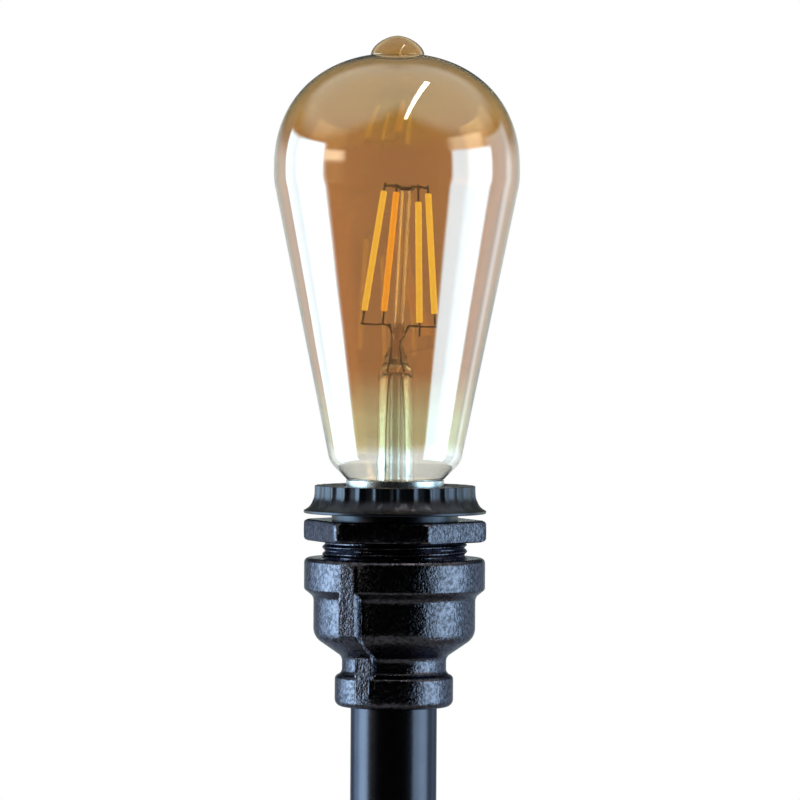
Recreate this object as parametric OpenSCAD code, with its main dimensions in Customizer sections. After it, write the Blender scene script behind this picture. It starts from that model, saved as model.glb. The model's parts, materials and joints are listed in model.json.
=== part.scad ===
// Pipe lamp: a filament bulb screwed into a holder on threaded pipe fittings and a screw-down flange.
// Millimetres, +Z up, origin at the centre of the flange's mounting face.

/* [Flange] */
// Diameter of the flange plate
flange_d = 80; // [76:1:110]
// Thickness of the flange plate
flange_t = 6; // [4:0.5:9]
// Wall of the hub around the pipe
hub_wall = 4.2; // [3:0.1:6]
// Length of pipe held in the hub, from the plate up
flange_grip = 14; // [9:0.5:30]
// Diameter of the wire hole
wire_hole_d = 16; // [13:0.5:18]
// Number of screw holes
screw_count = 4; // [3:1:6]
// Diameter of a screw hole
screw_hole_d = 6.5; // [4:0.5:8]
// Diameter of the circle through the screw holes
screw_circle_d = 60; // [54:1:66]

/* [Pipe] */
// Outside diameter of the pipe
pipe_d = 22.5; // [20:0.5:26]
// Wall of the pipe
pipe_wall = 2.4; // [1.6:0.1:3]
// Length of the pipe
pipe_len = 150; // [80:5:400]

/* [Reducer] */
// Length of pipe held in the reducer
reducer_grip = 13; // [12:0.5:15]
// Wall of the band around the pipe
small_band_wall = 4.15; // [3:0.05:6]
// Height of the band around the pipe
small_band_h = 7.9; // [6:0.1:8.5]
// Wall of the neck above that band
neck_wall = 2.3; // [1.8:0.1:2.8]
// Height of the cone between neck and body
cone_h = 5.2; // [4.2:0.1:6]
// Wall of the body
body_wall = 3.9; // [3:0.1:5]
// Wall of the band around the bush's thread
big_band_wall = 4.65; // [3.5:0.05:6]
// Height of the band around the bush's thread
big_band_h = 8.2; // [7:0.1:9]
// Height of the slope from the body up to that band
shoulder_h = 2; // [1:0.1:3]
// Thickness of the stop above the end of the pipe
stop_t = 4.5; // [4:0.1:6]
// How far the stop reaches in over the end of the pipe
stop_lip = 1.25; // [0.8:0.05:1.6]
// Width of the two ribs along the casting
rib_w = 5; // [3:0.1:7]
// How far the ribs stand out from the bands
rib_rise = 0.25; // [0.1:0.05:0.6]
// Turn of the ribs about the lamp's axis
rib_turn = 239; // [180:1:270]

/* [Hex bush] */
// Wall of the bush, bore to thread crest
bush_wall = 2.35; // [1.8:0.05:3.5]
// How far each flat of the hexagon stands out from the thread
hex_step = 2.2; // [1.5:0.1:4]
// Height of the hexagon
hex_h = 5.6; // [4:0.1:9]
// Turn of the hexagon about the lamp's axis
hex_turn = -12; // [-30:1:30]
// Length of thread that shows between hexagon and reducer
thread_show = 4.3; // [2:0.1:6]
// Length of thread inside the reducer
bush_grip = 9; // [7:0.1:11]
// Pitch of the bush's thread
bush_pitch = 1.8; // [1.2:0.1:2.4]
// Depth of the bush's thread
bush_thread_depth = 0.7; // [0.4:0.05:1]

/* [Shade ring] */
// Height of the ring
ring_h = 7.2; // [6:0.1:10]
// Wall of the ring at its top
ring_wall = 4.35; // [3.2:0.05:6]
// How far the foot of the ring flares out past its top
ring_flare = 2.85; // [1.5:0.05:4]
// Thickness of the ring's foot
ring_foot_t = 0.8; // [0.6:0.1:1.4]
// Number of grip flutes around the ring
flute_count = 28; // [16:1:30]
// Diameter of a grip flute
flute_d = 3.2; // [2:0.1:3.6]
// Gap between the ring and the hexagon
ring_gap = 1.7; // [0.8:0.1:4]

/* [Lamp holder] */
// Wall of the holder's barrel
barrel_wall = 2.45; // [1.8:0.05:3.5]
// Thickness of the lip at the barrel's mouth
lip_t = 1.2; // [0.8:0.1:2]
// Wall of the screw shell at its thread's deepest point
shell_wall = 0.55; // [0.4:0.05:1]
// Thickness of the contact carrier's floor
carrier_t = 4.5; // [3.5:0.1:6]
// Wall of the contact carrier's cup
cup_wall = 1.35; // [1.1:0.05:1.4]
// Height of the centre contact above the carrier's floor
contact_rise = 3; // [2.6:0.1:4]
// Thickness of the contact strips
strip_t = 0.5; // [0.4:0.05:0.6]
// Width of the contact strips
strip_w = 5; // [3.5:0.1:5.4]
// Thickness of the retaining ring
retainer_t = 2; // [1.5:0.1:3]
// Room between the holder and the reducer's floor
floor_room = 4.4; // [4.2:0.1:7]
// Side of a terminal block
terminal_w = 5; // [4.4:0.1:5.4]
// Height of a terminal block
terminal_h = 6; // [5.5:0.1:6.2]
// Distance of each terminal block from the axis
terminal_x = 6.5; // [6:0.1:6.8]

/* [Bulb] */
// Largest diameter of the glass
bulb_d = 64; // [52:1:80]
// Length of the glass that shows, cap to tip
bulb_len = 115.5; // [105:0.5:130]
// Height of the widest point above the cap
widest_h = 81; // [75:0.5:88]
// Height of the nub on the tip, above the dome
nub_h = 4.5; // [3:0.1:6]
// Diameter of the nub on the tip
nub_d = 14; // [8:0.5:18]
// Thickness of the glass
glass_t = 0.9; // [0.6:0.05:1.4]
// Radius of the glass where its cone meets the neck
shoulder_r = 17.1; // [15.5:0.1:20]
// Height of that meeting above the cap
shoulder_z = 4.6; // [3.5:0.1:8]
// Depth of the glass neck inside the cap
neck_in = 9; // [7:0.5:10]

/* [Bulb cap] */
// Diameter over the cap's thread
cap_thread_d = 26.2; // [25.8:0.05:26.5]
// Pitch of the cap's thread
cap_pitch = 3.6286; // [3.4:0.0001:3.8]
// Depth of the cap's thread
cap_thread_depth = 1.05; // [0.8:0.05:1.2]
// Length of the cap, rim to tip
cap_len = 27.5; // [26.5:0.1:29]
// Length of the cap's shell
cap_shell_len = 19.5; // [18:0.1:20]
// Height of the plain collar above the thread
collar_h = 2.5; // [2:0.1:3]
// Height of the collar that shows above the shade ring
collar_show = 1.6; // [0.8:0.1:2.2]
// Sheet of the cap's shell
cap_sheet = 0.3; // [0.2:0.05:0.5]
// Diameter of the tip contact
tip_d = 9.8; // [8:0.1:11]

/* [Inside the bulb] */
// Diameter of the glass stem's tube
stem_d = 9.2; // [8:0.1:11]
// Height of the stem's tube above the cap
stem_h = 29.7; // [24:0.1:32]
// Height of the pinch on top of the stem
pinch_h = 6.3; // [4:0.1:7]
// Diameter of the glass support rod
rod_d = 3; // [2:0.1:3.4]
// Height of the filaments' upper ends above the cap
filament_top = 74.9; // [70:0.1:80]
// Height of the filaments' lower ends above the cap
filament_low = 43.6; // [41:0.1:50]
// Diameter of a filament
filament_d = 1.7; // [1:0.1:2.4]
// Distance of the filaments' upper ends from the axis
filament_top_r = 6.4; // [5:0.1:9]
// Distance of the filaments' lower ends from the axis
filament_low_r = 10.2; // [8:0.1:13]
// Turn of the filaments about the axis
filament_turn = 26; // [15:1:30]
// Length of the pin at each end of a filament
pin_len = 3.6; // [3:0.1:5]
// Diameter of the pins and wires inside the bulb
lead_d = 0.6; // [0.4:0.05:0.8]
// Thickness of the driver board
board_t = 1.2; // [0.8:0.1:1.6]

/* [Wiring] */
// Diameter of an insulated wire
wire_d = 2.4; // [1.8:0.1:2.6]
// Diameter of the ferrule on a wire's end
ferrule_d = 1.8; // [1.4:0.1:2]
// Length of a ferrule
ferrule_len = 7; // [5:0.5:9]
// Diameter of the earth screw
earth_screw_d = 3; // [2.5:0.1:3.2]

/* [Clearances] */
// Radial room between pieces that are screwed or pushed together
fit_clear = 0.05; // [0.02:0.01:0.1]
// Radial room between the cap's thread and the screw shell
thread_clear = 0.25; // [0.2:0.01:0.3]
// Radial room between the shade ring and the barrel
ring_clear = 0.1; // [0.05:0.01:0.3]
// Room around pieces that lie loose beside each other
loose_clear = 0.3; // [0.2:0.05:0.5]
// Radial room between the barrel and the reducer's body
barrel_room = 0.7; // [0.4:0.1:1.5]

/* [Hidden] */
$fn = 72;

// Small steps between neighbours: shell to cup, thread to collar, and the cement's thickness
cup_drop = 3;
collar_step = 0.35;
cement_t = 0.25;

// Heights from the mounting face up
pipe_z = flange_t;
hub_top = flange_t + flange_grip;
pipe_top = pipe_z + pipe_len;
reducer_z = pipe_top - reducer_grip;
ledge_z = pipe_top + stop_t;
barrel_z = ledge_z + floor_room;
carrier_z = barrel_z + retainer_t;
cup_floor_z = carrier_z + carrier_t;
contact_z = cup_floor_z + contact_rise;
cap_tip_z = contact_z + loose_clear;
seam_z = cap_tip_z + cap_len;
ring_top = seam_z - collar_show;
ring_z = ring_top - ring_h;
hex_top = ring_z - ring_gap;
hex_z = hex_top - hex_h;
reducer_top = hex_z - thread_show;
bush_z = reducer_top - bush_grip;
cup_rim_z = seam_z - cap_shell_len - cup_drop;
lip_z = ring_top - lip_t;

// Radii from the bulb's cap outwards
cap_r = cap_thread_d / 2;
cap_root_r = cap_r - cap_thread_depth;
cap_bore_r = cap_root_r - cap_sheet;
collar_r = cap_r - collar_step;
shell_root_r = cap_root_r + thread_clear;
shell_r = cap_r + thread_clear + shell_wall;
barrel_bore_r = shell_r + 3 * fit_clear;
barrel_r = barrel_bore_r + barrel_wall;
lip_r = cap_r + 2 * thread_clear;
bush_bore_r = barrel_r + fit_clear;
bush_r = bush_bore_r + bush_wall;
socket_r = bush_r + fit_clear;
cavity_r = barrel_r + barrel_room;
body_r = cavity_r + body_wall;
big_band_r = socket_r + big_band_wall;
hex_flat_r = bush_r + hex_step;
hex_corner_r = hex_flat_r / cos(30);
ring_bore_r = barrel_r + ring_clear;
ring_r = ring_bore_r + ring_wall;
pipe_r = pipe_d / 2;
pipe_bore_r = pipe_r - pipe_wall;
pipe_socket_r = pipe_r + fit_clear;
hub_r = pipe_socket_r + hub_wall;
small_band_r = pipe_socket_r + small_band_wall;
neck_r = pipe_socket_r + neck_wall;
stop_r = pipe_r - stop_lip;
carrier_r = barrel_bore_r - 2 * fit_clear;
cup_r = carrier_r - cup_wall;
retainer_bore_r = terminal_x + terminal_w / 2 + 2;

// Studs rivet the terminals through the carrier
stud_d = 3;
stud_bore_d = stud_d + 2 * fit_clear;

// The bulb's glass
bulb_r = bulb_d / 2;
glass_neck_r = cap_bore_r - cement_t;
dome_h = bulb_len - nub_h - widest_h;
dome_power = 2.2;
dome_steps = 22;
nub_steps = 8;
cone_top_h = widest_h - 3.3;

// Threads: columns around and rows in each turn
thread_sides = 32;
thread_rows = 6;
thread_fade = 1.5;

// The reducer's and flange's fillets
cast_fillet = 2.2;
edge_fillet = 1.3;
arc_steps = 6;

// The wires lie side by side in the pipe
wire_orbit = 3.4;
wire_sides = 8;
wire_low_z = hub_top + ferrule_len;
terminal_z = carrier_z - terminal_h;
earth_r = stop_r + 2.2;
earth_shank_d = earth_screw_d - 0.4;
earth_head_d = earth_screw_d + 2.4;
lug_t = 0.8;
lug_r = 3.2;

// The filaments hang around the rod, and the last one hangs lower
filament_count = 4;
filament_drop = [0, 0, 0, 2.4];
lead_x = rod_d / 2 + lead_d + 0.2;
lead_bend_z = seam_z + stem_h + pinch_h + 2.6;
pin_low_z = seam_z + filament_low - pin_len;
rod_top_z = seam_z + filament_top + 2;
board_z = seam_z - neck_in - 4.2;

iron = "#24292f";
satin_black = "#1c2025";
phenolic = "#17191c";
porcelain = "#e8e4da";
brass = "#c9a14a";
nickel = "#c9ccd0";
amber = [0.72, 0.48, 0.25, 0.4];
clear_glass = [0.85, 0.9, 0.9, 0.5];
phosphor = "#f2b230";

function unit(v) = v / norm(v);

function flat(p) = [p[0], p[1]];

// The arc that rounds corner b, never longer than half of either side
function corner_arc(a, b, c, r) =
    let (u = unit(a - b), v = unit(c - b), half = acos(u * v) / 2)
    let (reach = min(r / tan(half), 0.48 * min(norm(a - b), norm(c - b))))
    let (arc_r = reach * tan(half), centre = b + unit(u + v) * arc_r / sin(half))
    let (p = b + u * reach - centre, q = b + v * reach - centre)
    let (start = atan2(p[1], p[0]), stop = atan2(q[1], q[0]))
    let (turn = stop - start, sweep = turn > 180 ? turn - 360 : turn < -180 ? turn + 360 : turn)
    [for (i = [0:arc_steps]) centre + arc_r * [cos(start + sweep * i / arc_steps),
                                               sin(start + sweep * i / arc_steps)]];

// A path of [radius, height, fillet] corners with its corners rounded
function rounded(path, closed = true) =
    let (n = len(path))
    [for (i = [0:n - 1])
        each path[i][2] == undef || (!closed && (i == 0 || i == n - 1))
            ? [flat(path[i])]
            : corner_arc(flat(path[(i + n - 1) % n]), flat(path[i]), flat(path[(i + 1) % n]), path[i][2])];

module lathe(path) {
    rotate_extrude() polygon(rounded(path));
}

module ring_of(count, radius, start = 0) {
    for (i = [0:count - 1]) {
        rotate([0, 0, start + 360 * i / count]) translate([radius, 0, 0]) children();
    }
}

// One surface of a wavy tube, as rings of points
function tube_rings(heights, radius) =
    [for (z = heights, j = [0:thread_sides - 1])
        let (a = 360 * j / thread_sides, r = radius(z, a)) [r * cos(a), r * sin(a), z]];

function tube_faces(first, rows, outward) =
    [for (i = [0:rows - 2], j = [0:thread_sides - 1])
        let (k = (j + 1) % thread_sides, a = first + i * thread_sides)
        let (p = a + j, q = a + thread_sides + j, s = a + thread_sides + k, t = a + k)
        each outward ? [[p, q, s], [p, s, t]] : [[p, s, q], [p, t, s]]];

function rim_faces(outer, inner, up) =
    [for (j = [0:thread_sides - 1])
        let (k = (j + 1) % thread_sides)
        each up ? [[outer + j, inner + j, inner + k], [outer + j, inner + k, outer + k]]
                : [[outer + j, inner + k, inner + j], [outer + j, outer + k, inner + k]]];

function spread(low, high, steps) = [for (i = [0:steps]) low + (high - low) * i / steps];

// A tube whose outer and inner radii are functions of height and angle
module wavy_tube(outer_z, inner_z, outer, inner) {
    first_inner = len(outer_z) * thread_sides;
    outer_top = first_inner - thread_sides;
    inner_top = first_inner + (len(inner_z) - 1) * thread_sides;
    polyhedron(
        points = concat(tube_rings(outer_z, outer), tube_rings(inner_z, inner)),
        faces = concat(
            tube_faces(0, len(outer_z), true),
            tube_faces(first_inner, len(inner_z), false),
            rim_faces(outer_top, inner_top, true),
            rim_faces(0, first_inner, false)
        )
    );
}

// The screw thread's wave, which climbs one pitch in each turn
function thread_wave(z, a) = (1 + cos(360 * (z - seam_z) / cap_pitch - a)) / 2;

function thread_steps(length) = ceil(length / cap_pitch * thread_rows);

// The direction of the path at each of its points
function heading(path, i) =
    let (before = path[max(i - 1, 0)], after = path[min(i + 1, len(path) - 1)]) unit(after - before);

function square_to(v, axis) = unit(v - (v * axis) * axis);

// Rings of points around a path, each turned as little as the bend allows
function sweep_points(path, radius, sides) =
    [for (i = 0, u = square_to([0.3, 1, 0.2], heading(path, 0)); i < len(path);
          i = i + 1, u = i < len(path) ? square_to(u, heading(path, i)) : u)
        let (w = cross(heading(path, i), u))
        each [for (j = [0:sides - 1])
            path[i] + radius * (cos(360 * j / sides) * u + sin(360 * j / sides) * w)]];

module swept_wire(path, diameter, sides = wire_sides) {
    last = (len(path) - 1) * sides;
    walls = [for (i = [0:len(path) - 2], j = [0:sides - 1])
        let (k = (j + 1) % sides, a = i * sides, b = a + sides)
        each [[a + j, b + j, b + k], [a + j, b + k, a + k]]];
    ends = [for (j = [1:sides - 2]) each [[0, j, j + 1], [last, last + j + 1, last + j]]];
    polyhedron(points = sweep_points(path, diameter / 2, sides), faces = concat(walls, ends));
}

// Flange, pipe and fittings

module flange() {
    color(iron) difference() {
        lathe([
            [wire_hole_d / 2, 0],
            [flange_d / 2, 0, 0.4],
            [flange_d / 2, flange_t, edge_fillet],
            [wire_hole_d / 2, flange_t]
        ]);
        ring_of(screw_count, screw_circle_d / 2, 180 / screw_count) {
            translate([0, 0, -1]) cylinder(d = screw_hole_d, h = flange_t + 2);
        }
    }
}

// The hub stands on the plate and widens into it
module flange_hub() {
    hub_draft = 1;
    foot_r = hub_r + hub_draft + cast_fillet;
    color(iron) lathe([
        [pipe_socket_r, flange_t],
        [foot_r, flange_t],
        [hub_r + hub_draft, flange_t + 0.4 * cast_fillet, cast_fillet],
        [hub_r, hub_top, edge_fillet],
        [pipe_socket_r, hub_top]
    ]);
}

module pipe() {
    color(satin_black) lathe([
        [pipe_bore_r, pipe_z],
        [pipe_r, pipe_z, 0.4],
        [pipe_r, pipe_top, 0.4],
        [pipe_bore_r, pipe_top]
    ]);
}

// Ribs that pass over the neck and the body, a little proud of both bands
module reducer_ribs(neck_top_z, cone_top_z) {
    root = 1;
    low_z = reducer_z + cast_fillet;
    high_z = reducer_top - edge_fillet;
    intersection() {
        lathe([
            [pipe_socket_r + root, low_z],
            [small_band_r + rib_rise, low_z],
            [small_band_r + rib_rise, neck_top_z + 0.4, cast_fillet],
            [big_band_r + rib_rise, cone_top_z + 1.2, cast_fillet],
            [big_band_r + rib_rise, high_z],
            [socket_r + root, high_z],
            [socket_r + root, cone_top_z + 1.5],
            [pipe_socket_r + root, neck_top_z]
        ]);
        for (side = [0, 180]) {
            rotate([0, 0, rib_turn + side]) translate([0, -rib_w / 2, reducer_z]) {
                cube([big_band_r + 2 * rib_w, rib_w, reducer_top - reducer_z]);
            }
        }
    }
}

module reducer() {
    cone_top_z = ledge_z + 0.7;
    neck_top_z = cone_top_z - cone_h;
    band_top_z = reducer_z + small_band_h;
    shoulder_top_z = reducer_top - big_band_h;
    earth_hole_depth = 3;
    color(iron) difference() {
        union() {
            lathe([
                [pipe_socket_r, reducer_z],
                [small_band_r, reducer_z, cast_fillet],
                [small_band_r, band_top_z, edge_fillet],
                [neck_r, band_top_z + 1, 2],
                [neck_r, neck_top_z, cast_fillet],
                [body_r, cone_top_z, 2 * cast_fillet],
                [body_r, shoulder_top_z - shoulder_h, cast_fillet],
                [big_band_r, shoulder_top_z, 1],
                [big_band_r, reducer_top, edge_fillet],
                [socket_r, reducer_top],
                [socket_r, bush_z - loose_clear],
                [cavity_r, bush_z - loose_clear],
                [cavity_r, ledge_z],
                [stop_r, ledge_z],
                [stop_r, pipe_top],
                [pipe_socket_r, pipe_top]
            ]);
            reducer_ribs(neck_top_z, cone_top_z);
        }
        translate([0, earth_r, ledge_z - earth_hole_depth]) {
            cylinder(d = earth_shank_d + 2 * fit_clear, h = earth_hole_depth + 1);
        }
    }
}

module hex_bush() {
    ridges = floor((thread_show + bush_grip - 0.4) / bush_pitch);
    root_r = bush_r - bush_thread_depth;
    ridge_path = [for (i = [0:ridges - 1])
        let (z = hex_z - (i + 1) * bush_pitch)
        each [[root_r, z + bush_pitch], [bush_r, z + bush_pitch * 0.6], [bush_r, z + bush_pitch * 0.4]]];
    bevel = 0.7;
    color(iron) difference() {
        union() {
            rotate_extrude() polygon(concat(
                [[bush_bore_r - 1, hex_z + 1], [root_r, hex_z + 1]],
                ridge_path,
                [[root_r, bush_z], [bush_bore_r - 1, bush_z]]
            ));
            intersection() {
                translate([0, 0, hex_z]) rotate([0, 0, hex_turn]) {
                    cylinder(r = hex_corner_r, h = hex_h, $fn = 6);
                }
                rotate_extrude() polygon([
                    [0, hex_z],
                    [hex_corner_r - bevel, hex_z],
                    [hex_corner_r - bevel / 4, hex_z + bevel],
                    [hex_corner_r - bevel / 4, hex_top - bevel],
                    [hex_corner_r - bevel, hex_top],
                    [0, hex_top]
                ]);
            }
        }
        translate([0, 0, bush_z - 1]) cylinder(r = bush_bore_r, h = hex_top - bush_z + 2);
    }
}

module shade_ring() {
    foot_r = ring_r + ring_flare;
    flute_z = ring_z + ring_foot_t + 1.3;
    flute_orbit = ring_r + flute_d * 0.15;
    color(phenolic) difference() {
        lathe([
            [ring_bore_r, ring_z],
            [foot_r, ring_z, 0.3],
            [foot_r, ring_z + ring_foot_t, 0.3],
            [ring_r + 0.37 * ring_flare, ring_z + ring_foot_t + 1, 2],
            [ring_r + 0.05 * ring_flare, ring_z + ring_foot_t + 3.4, 5],
            [ring_r, ring_top, 0.5],
            [ring_bore_r, ring_top]
        ]);
        ring_of(flute_count, flute_orbit) {
            translate([0, 0, flute_z]) cylinder(d = flute_d, h = ring_h);
        }
    }
}

// Lamp holder

module holder_barrel() {
    color(phenolic) lathe([
        [barrel_bore_r, barrel_z],
        [barrel_r, barrel_z, 0.4],
        [barrel_r, ring_top, 0.4],
        [lip_r, ring_top, 0.3],
        [lip_r, lip_z],
        [barrel_bore_r, lip_z]
    ]);
}

module screw_shell() {
    top_z = lip_z - fit_clear;
    steps = thread_steps(top_z - cup_rim_z);
    color(brass) wavy_tube(
        [cup_rim_z, top_z],
        spread(cup_rim_z, top_z, steps),
        function(z, a) shell_r,
        function(z, a) shell_root_r + cap_thread_depth * thread_wave(z, a)
    );
}

module contact_carrier() {
    color(porcelain) difference() {
        lathe([
            [0, carrier_z],
            [carrier_r, carrier_z, 0.3],
            [carrier_r, cup_rim_z],
            [cup_r, cup_rim_z],
            [cup_r, cup_floor_z],
            [0, cup_floor_z]
        ]);
        for (x = [-terminal_x, terminal_x]) {
            translate([x, 0, carrier_z - 1]) cylinder(d = stud_bore_d, h = carrier_t + 2);
        }
        translate([-shell_r, -strip_w / 2 - fit_clear, cup_rim_z - strip_t]) {
            cube([shell_r - cup_r + 1, strip_w + 2 * fit_clear, strip_t + 1]);
        }
    }
}

module retaining_ring() {
    key_d = 2;
    color(phenolic) difference() {
        lathe([
            [retainer_bore_r, barrel_z],
            [barrel_bore_r - fit_clear, barrel_z, 0.3],
            [barrel_bore_r - fit_clear, carrier_z],
            [retainer_bore_r, carrier_z]
        ]);
        ring_of(2, retainer_bore_r, 90) {
            translate([0, 0, barrel_z - 1]) cylinder(d = key_d, h = retainer_t + 2);
        }
    }
}

// The centre contact bends about the line where its strip leaves the foot
contact_root_x = terminal_x - strip_w / 2;
contact_past = 2.5;

module centre_contact() {
    root_z = cup_floor_z + loose_clear;
    ramp_end_x = 1;
    tongue_w = strip_w - 1;
    color(brass) translate([0, tongue_w / 2, 0]) rotate([90, 0, 0]) linear_extrude(tongue_w) polygon([
        [contact_root_x - loose_clear, root_z],
        [contact_root_x - loose_clear, root_z + strip_t],
        [ramp_end_x, contact_z],
        [-ramp_end_x, contact_z],
        [-contact_past, contact_z - strip_t],
        [-contact_past, contact_z - 2 * strip_t],
        [-ramp_end_x, contact_z - strip_t],
        [ramp_end_x, contact_z - strip_t]
    ]);
}

module contact_foot() {
    color(brass) difference() {
        translate([contact_root_x, -strip_w / 2, cup_floor_z]) cube([strip_w, strip_w, strip_t]);
        translate([terminal_x, 0, cup_floor_z - 1]) cylinder(d = stud_bore_d, h = strip_t + 2);
    }
}

terminal_screw_d = 2.4;
terminal_screw_z = terminal_z + 2.1;

// A terminal block with its stud, at x, and the hole for its wire
module terminal_block(x) {
    rivet_d = 4.4;
    rivet_h = 0.6;
    rivet_z = cup_floor_z + strip_t;
    color(brass) difference() {
        union() {
            translate([x - terminal_w / 2, -terminal_w / 2, terminal_z]) {
                cube([terminal_w, terminal_w, terminal_h]);
            }
            translate([x, 0, carrier_z - 0.5]) cylinder(d = stud_d, h = rivet_z - carrier_z + 0.6);
            translate([x, 0, rivet_z]) cylinder(d = rivet_d, h = rivet_h);
        }
        translate([x, 0, terminal_z - 1]) cylinder(d = ferrule_d + 2 * fit_clear, h = terminal_h - 0.5);
        translate([x, 0, terminal_screw_z]) rotate([0, x > 0 ? 90 : -90, 0]) {
            cylinder(d = terminal_screw_d + 2 * fit_clear, h = terminal_w);
        }
    }
}

module live_terminal() {
    terminal_block(terminal_x);
}

module neutral_terminal() {
    terminal_block(-terminal_x);
}

module terminal_screws() {
    head_d = 3.4;
    head_h = 1.4;
    slot_w = 0.6;
    slot_t = 0.7;
    tip_x = terminal_x + ferrule_d / 2 + fit_clear;
    face_x = terminal_x + terminal_w / 2;
    for (side = [0, 180]) {
        color(nickel) rotate([0, 0, side]) difference() {
            translate([0, 0, terminal_screw_z]) rotate([0, 90, 0]) union() {
                translate([0, 0, tip_x]) cylinder(d = terminal_screw_d, h = face_x - tip_x + 0.1);
                translate([0, 0, face_x]) cylinder(d = head_d, h = head_h);
            }
            translate([face_x + head_h - slot_t, -head_d, terminal_screw_z - slot_w / 2]) {
                cube([slot_t + 1, 2 * head_d, slot_w]);
            }
        }
    }
}

module shell_strap() {
    riser_x = cup_r - fit_clear - strip_t;
    foot_x = terminal_x - strip_w / 2;
    strap_w = strip_w - 1;
    color(brass) difference() {
        union() {
            translate([-riser_x, -strap_w / 2, cup_floor_z]) cube([riser_x - foot_x, strap_w, strip_t]);
            intersection() {
                translate([-cup_r, -strap_w / 2, cup_floor_z]) {
                    cube([strip_t * 2, strap_w, cup_rim_z - cup_floor_z]);
                }
                translate([0, 0, cup_floor_z]) cylinder(r = cup_r - fit_clear, h = cup_rim_z - cup_floor_z);
            }
            intersection() {
                translate([-shell_r, -strap_w / 2, cup_rim_z - strip_t]) {
                    cube([shell_r - riser_x, strap_w, strip_t]);
                }
                translate([0, 0, cup_rim_z - strip_t]) cylinder(r = carrier_r, h = strip_t);
            }
        }
        translate([-terminal_x, 0, cup_floor_z - 1]) cylinder(d = stud_bore_d, h = strip_t + 2);
    }
}

// Wiring

// A wire's route from its terminal through the stop and down the pipe
function terminal_route(side) = [
    [side * terminal_x, 0, terminal_z - 0.2],
    [side * terminal_x, 0, terminal_z - 0.6],
    [side * terminal_x * 0.95, 0, terminal_z - 1.8],
    [side * (terminal_x + wire_orbit) / 2, 0, pipe_top + 0.4],
    [side * wire_orbit, 0, pipe_top - 5],
    [side * wire_orbit, 0, pipe_top - 12],
    [side * wire_orbit, 0, (pipe_top + wire_low_z) / 2],
    [side * wire_orbit, 0, wire_low_z]
];

module live_wire() {
    color("#6b4423") swept_wire(terminal_route(1), wire_d);
}

module neutral_wire() {
    color("#2f5da8") swept_wire(terminal_route(-1), wire_d);
}

lug_tail_r = earth_r - lug_r - 2.2;

module earth_wire() {
    color("#4f9a3c") swept_wire([
        [0, lug_tail_r - fit_clear, ledge_z + wire_d / 2],
        [0, lug_tail_r - 0.5, ledge_z + wire_d / 2],
        [0, lug_tail_r - 1.5, ledge_z + 0.4],
        [0, (lug_tail_r + wire_orbit) / 2 - 0.6, pipe_top + 1.2],
        [0, wire_orbit, pipe_top - 6],
        [0, wire_orbit, pipe_top - 12],
        [0, wire_orbit, (pipe_top + wire_low_z) / 2],
        [0, wire_orbit, wire_low_z]
    ], wire_d);
}

module wire_ferrules() {
    top_len = terminal_h - 1.6;
    for (side = [-1, 1]) {
        color(nickel) translate([side * terminal_x, 0, terminal_z - 0.2]) {
            cylinder(d = ferrule_d, h = top_len);
        }
    }
    for (a = [0, 90, 180]) {
        color(nickel) rotate([0, 0, a]) translate([wire_orbit, 0, wire_low_z - ferrule_len]) {
            cylinder(d = ferrule_d, h = ferrule_len);
        }
    }
}

module earth_lug() {
    tail_w = 3;
    color(nickel) difference() {
        union() {
            translate([0, earth_r, ledge_z]) cylinder(r = lug_r, h = lug_t);
            translate([-tail_w / 2, lug_tail_r, ledge_z]) cube([tail_w, earth_r - lug_tail_r, lug_t]);
            translate([0, earth_r - lug_r + 0.4, ledge_z + wire_d / 2]) rotate([90, 0, 0]) {
                cylinder(d = wire_d, h = earth_r - lug_r + 0.4 - lug_tail_r);
            }
        }
        translate([0, earth_r, ledge_z - 1]) cylinder(d = earth_screw_d + loose_clear, h = lug_t + 2);
        translate([0, earth_r, ledge_z + lug_t]) cylinder(d = earth_head_d + 2 * loose_clear, h = wire_d);
        translate([-wire_d, 0, ledge_z - wire_d]) cube([2 * wire_d, 2 * earth_r, wire_d]);
    }
}

module earth_screw() {
    shank_len = 2.6;
    head_h = 2;
    slot_w = 0.8;
    color(nickel) translate([0, earth_r, ledge_z]) difference() {
        union() {
            translate([0, 0, -shank_len]) cylinder(d = earth_shank_d, h = shank_len + lug_t + 0.1);
            translate([0, 0, lug_t]) cylinder(d = earth_head_d, h = head_h);
        }
        translate([-earth_head_d, -slot_w / 2, lug_t + head_h - slot_w]) {
            cube([2 * earth_head_d, slot_w, slot_w + 1]);
        }
    }
}

module wire_bush() {
    flange_part_t = 1.2;
    sleeve_len = 6;
    bush_hole_r = wire_orbit + wire_d / 2 + 1.8;
    color("#d8d2c0") lathe([
        [bush_hole_r, pipe_top - sleeve_len],
        [pipe_bore_r - fit_clear, pipe_top - sleeve_len, 0.3],
        [pipe_bore_r - fit_clear, pipe_top],
        [stop_r - loose_clear, pipe_top],
        [stop_r - loose_clear, pipe_top + flange_part_t, 0.3],
        [bush_hole_r, pipe_top + flange_part_t, 0.3]
    ]);
}

// Bulb

// The glass outline from the neck to the widest point, moved in by a wall
function glass_side(wall) = rounded([
    [glass_neck_r - wall, -neck_in],
    [glass_neck_r - wall, 0.1 + wall, 0.4],
    [max(collar_r - 1.6 * wall, glass_neck_r - wall + 0.05), 0.1 + wall, 0.3],
    [shoulder_r - wall, shoulder_z + 0.4 * wall, 6],
    [bulb_r - wall, cone_top_h, 32],
    [bulb_r - wall, widest_h]
], closed = false);

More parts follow.
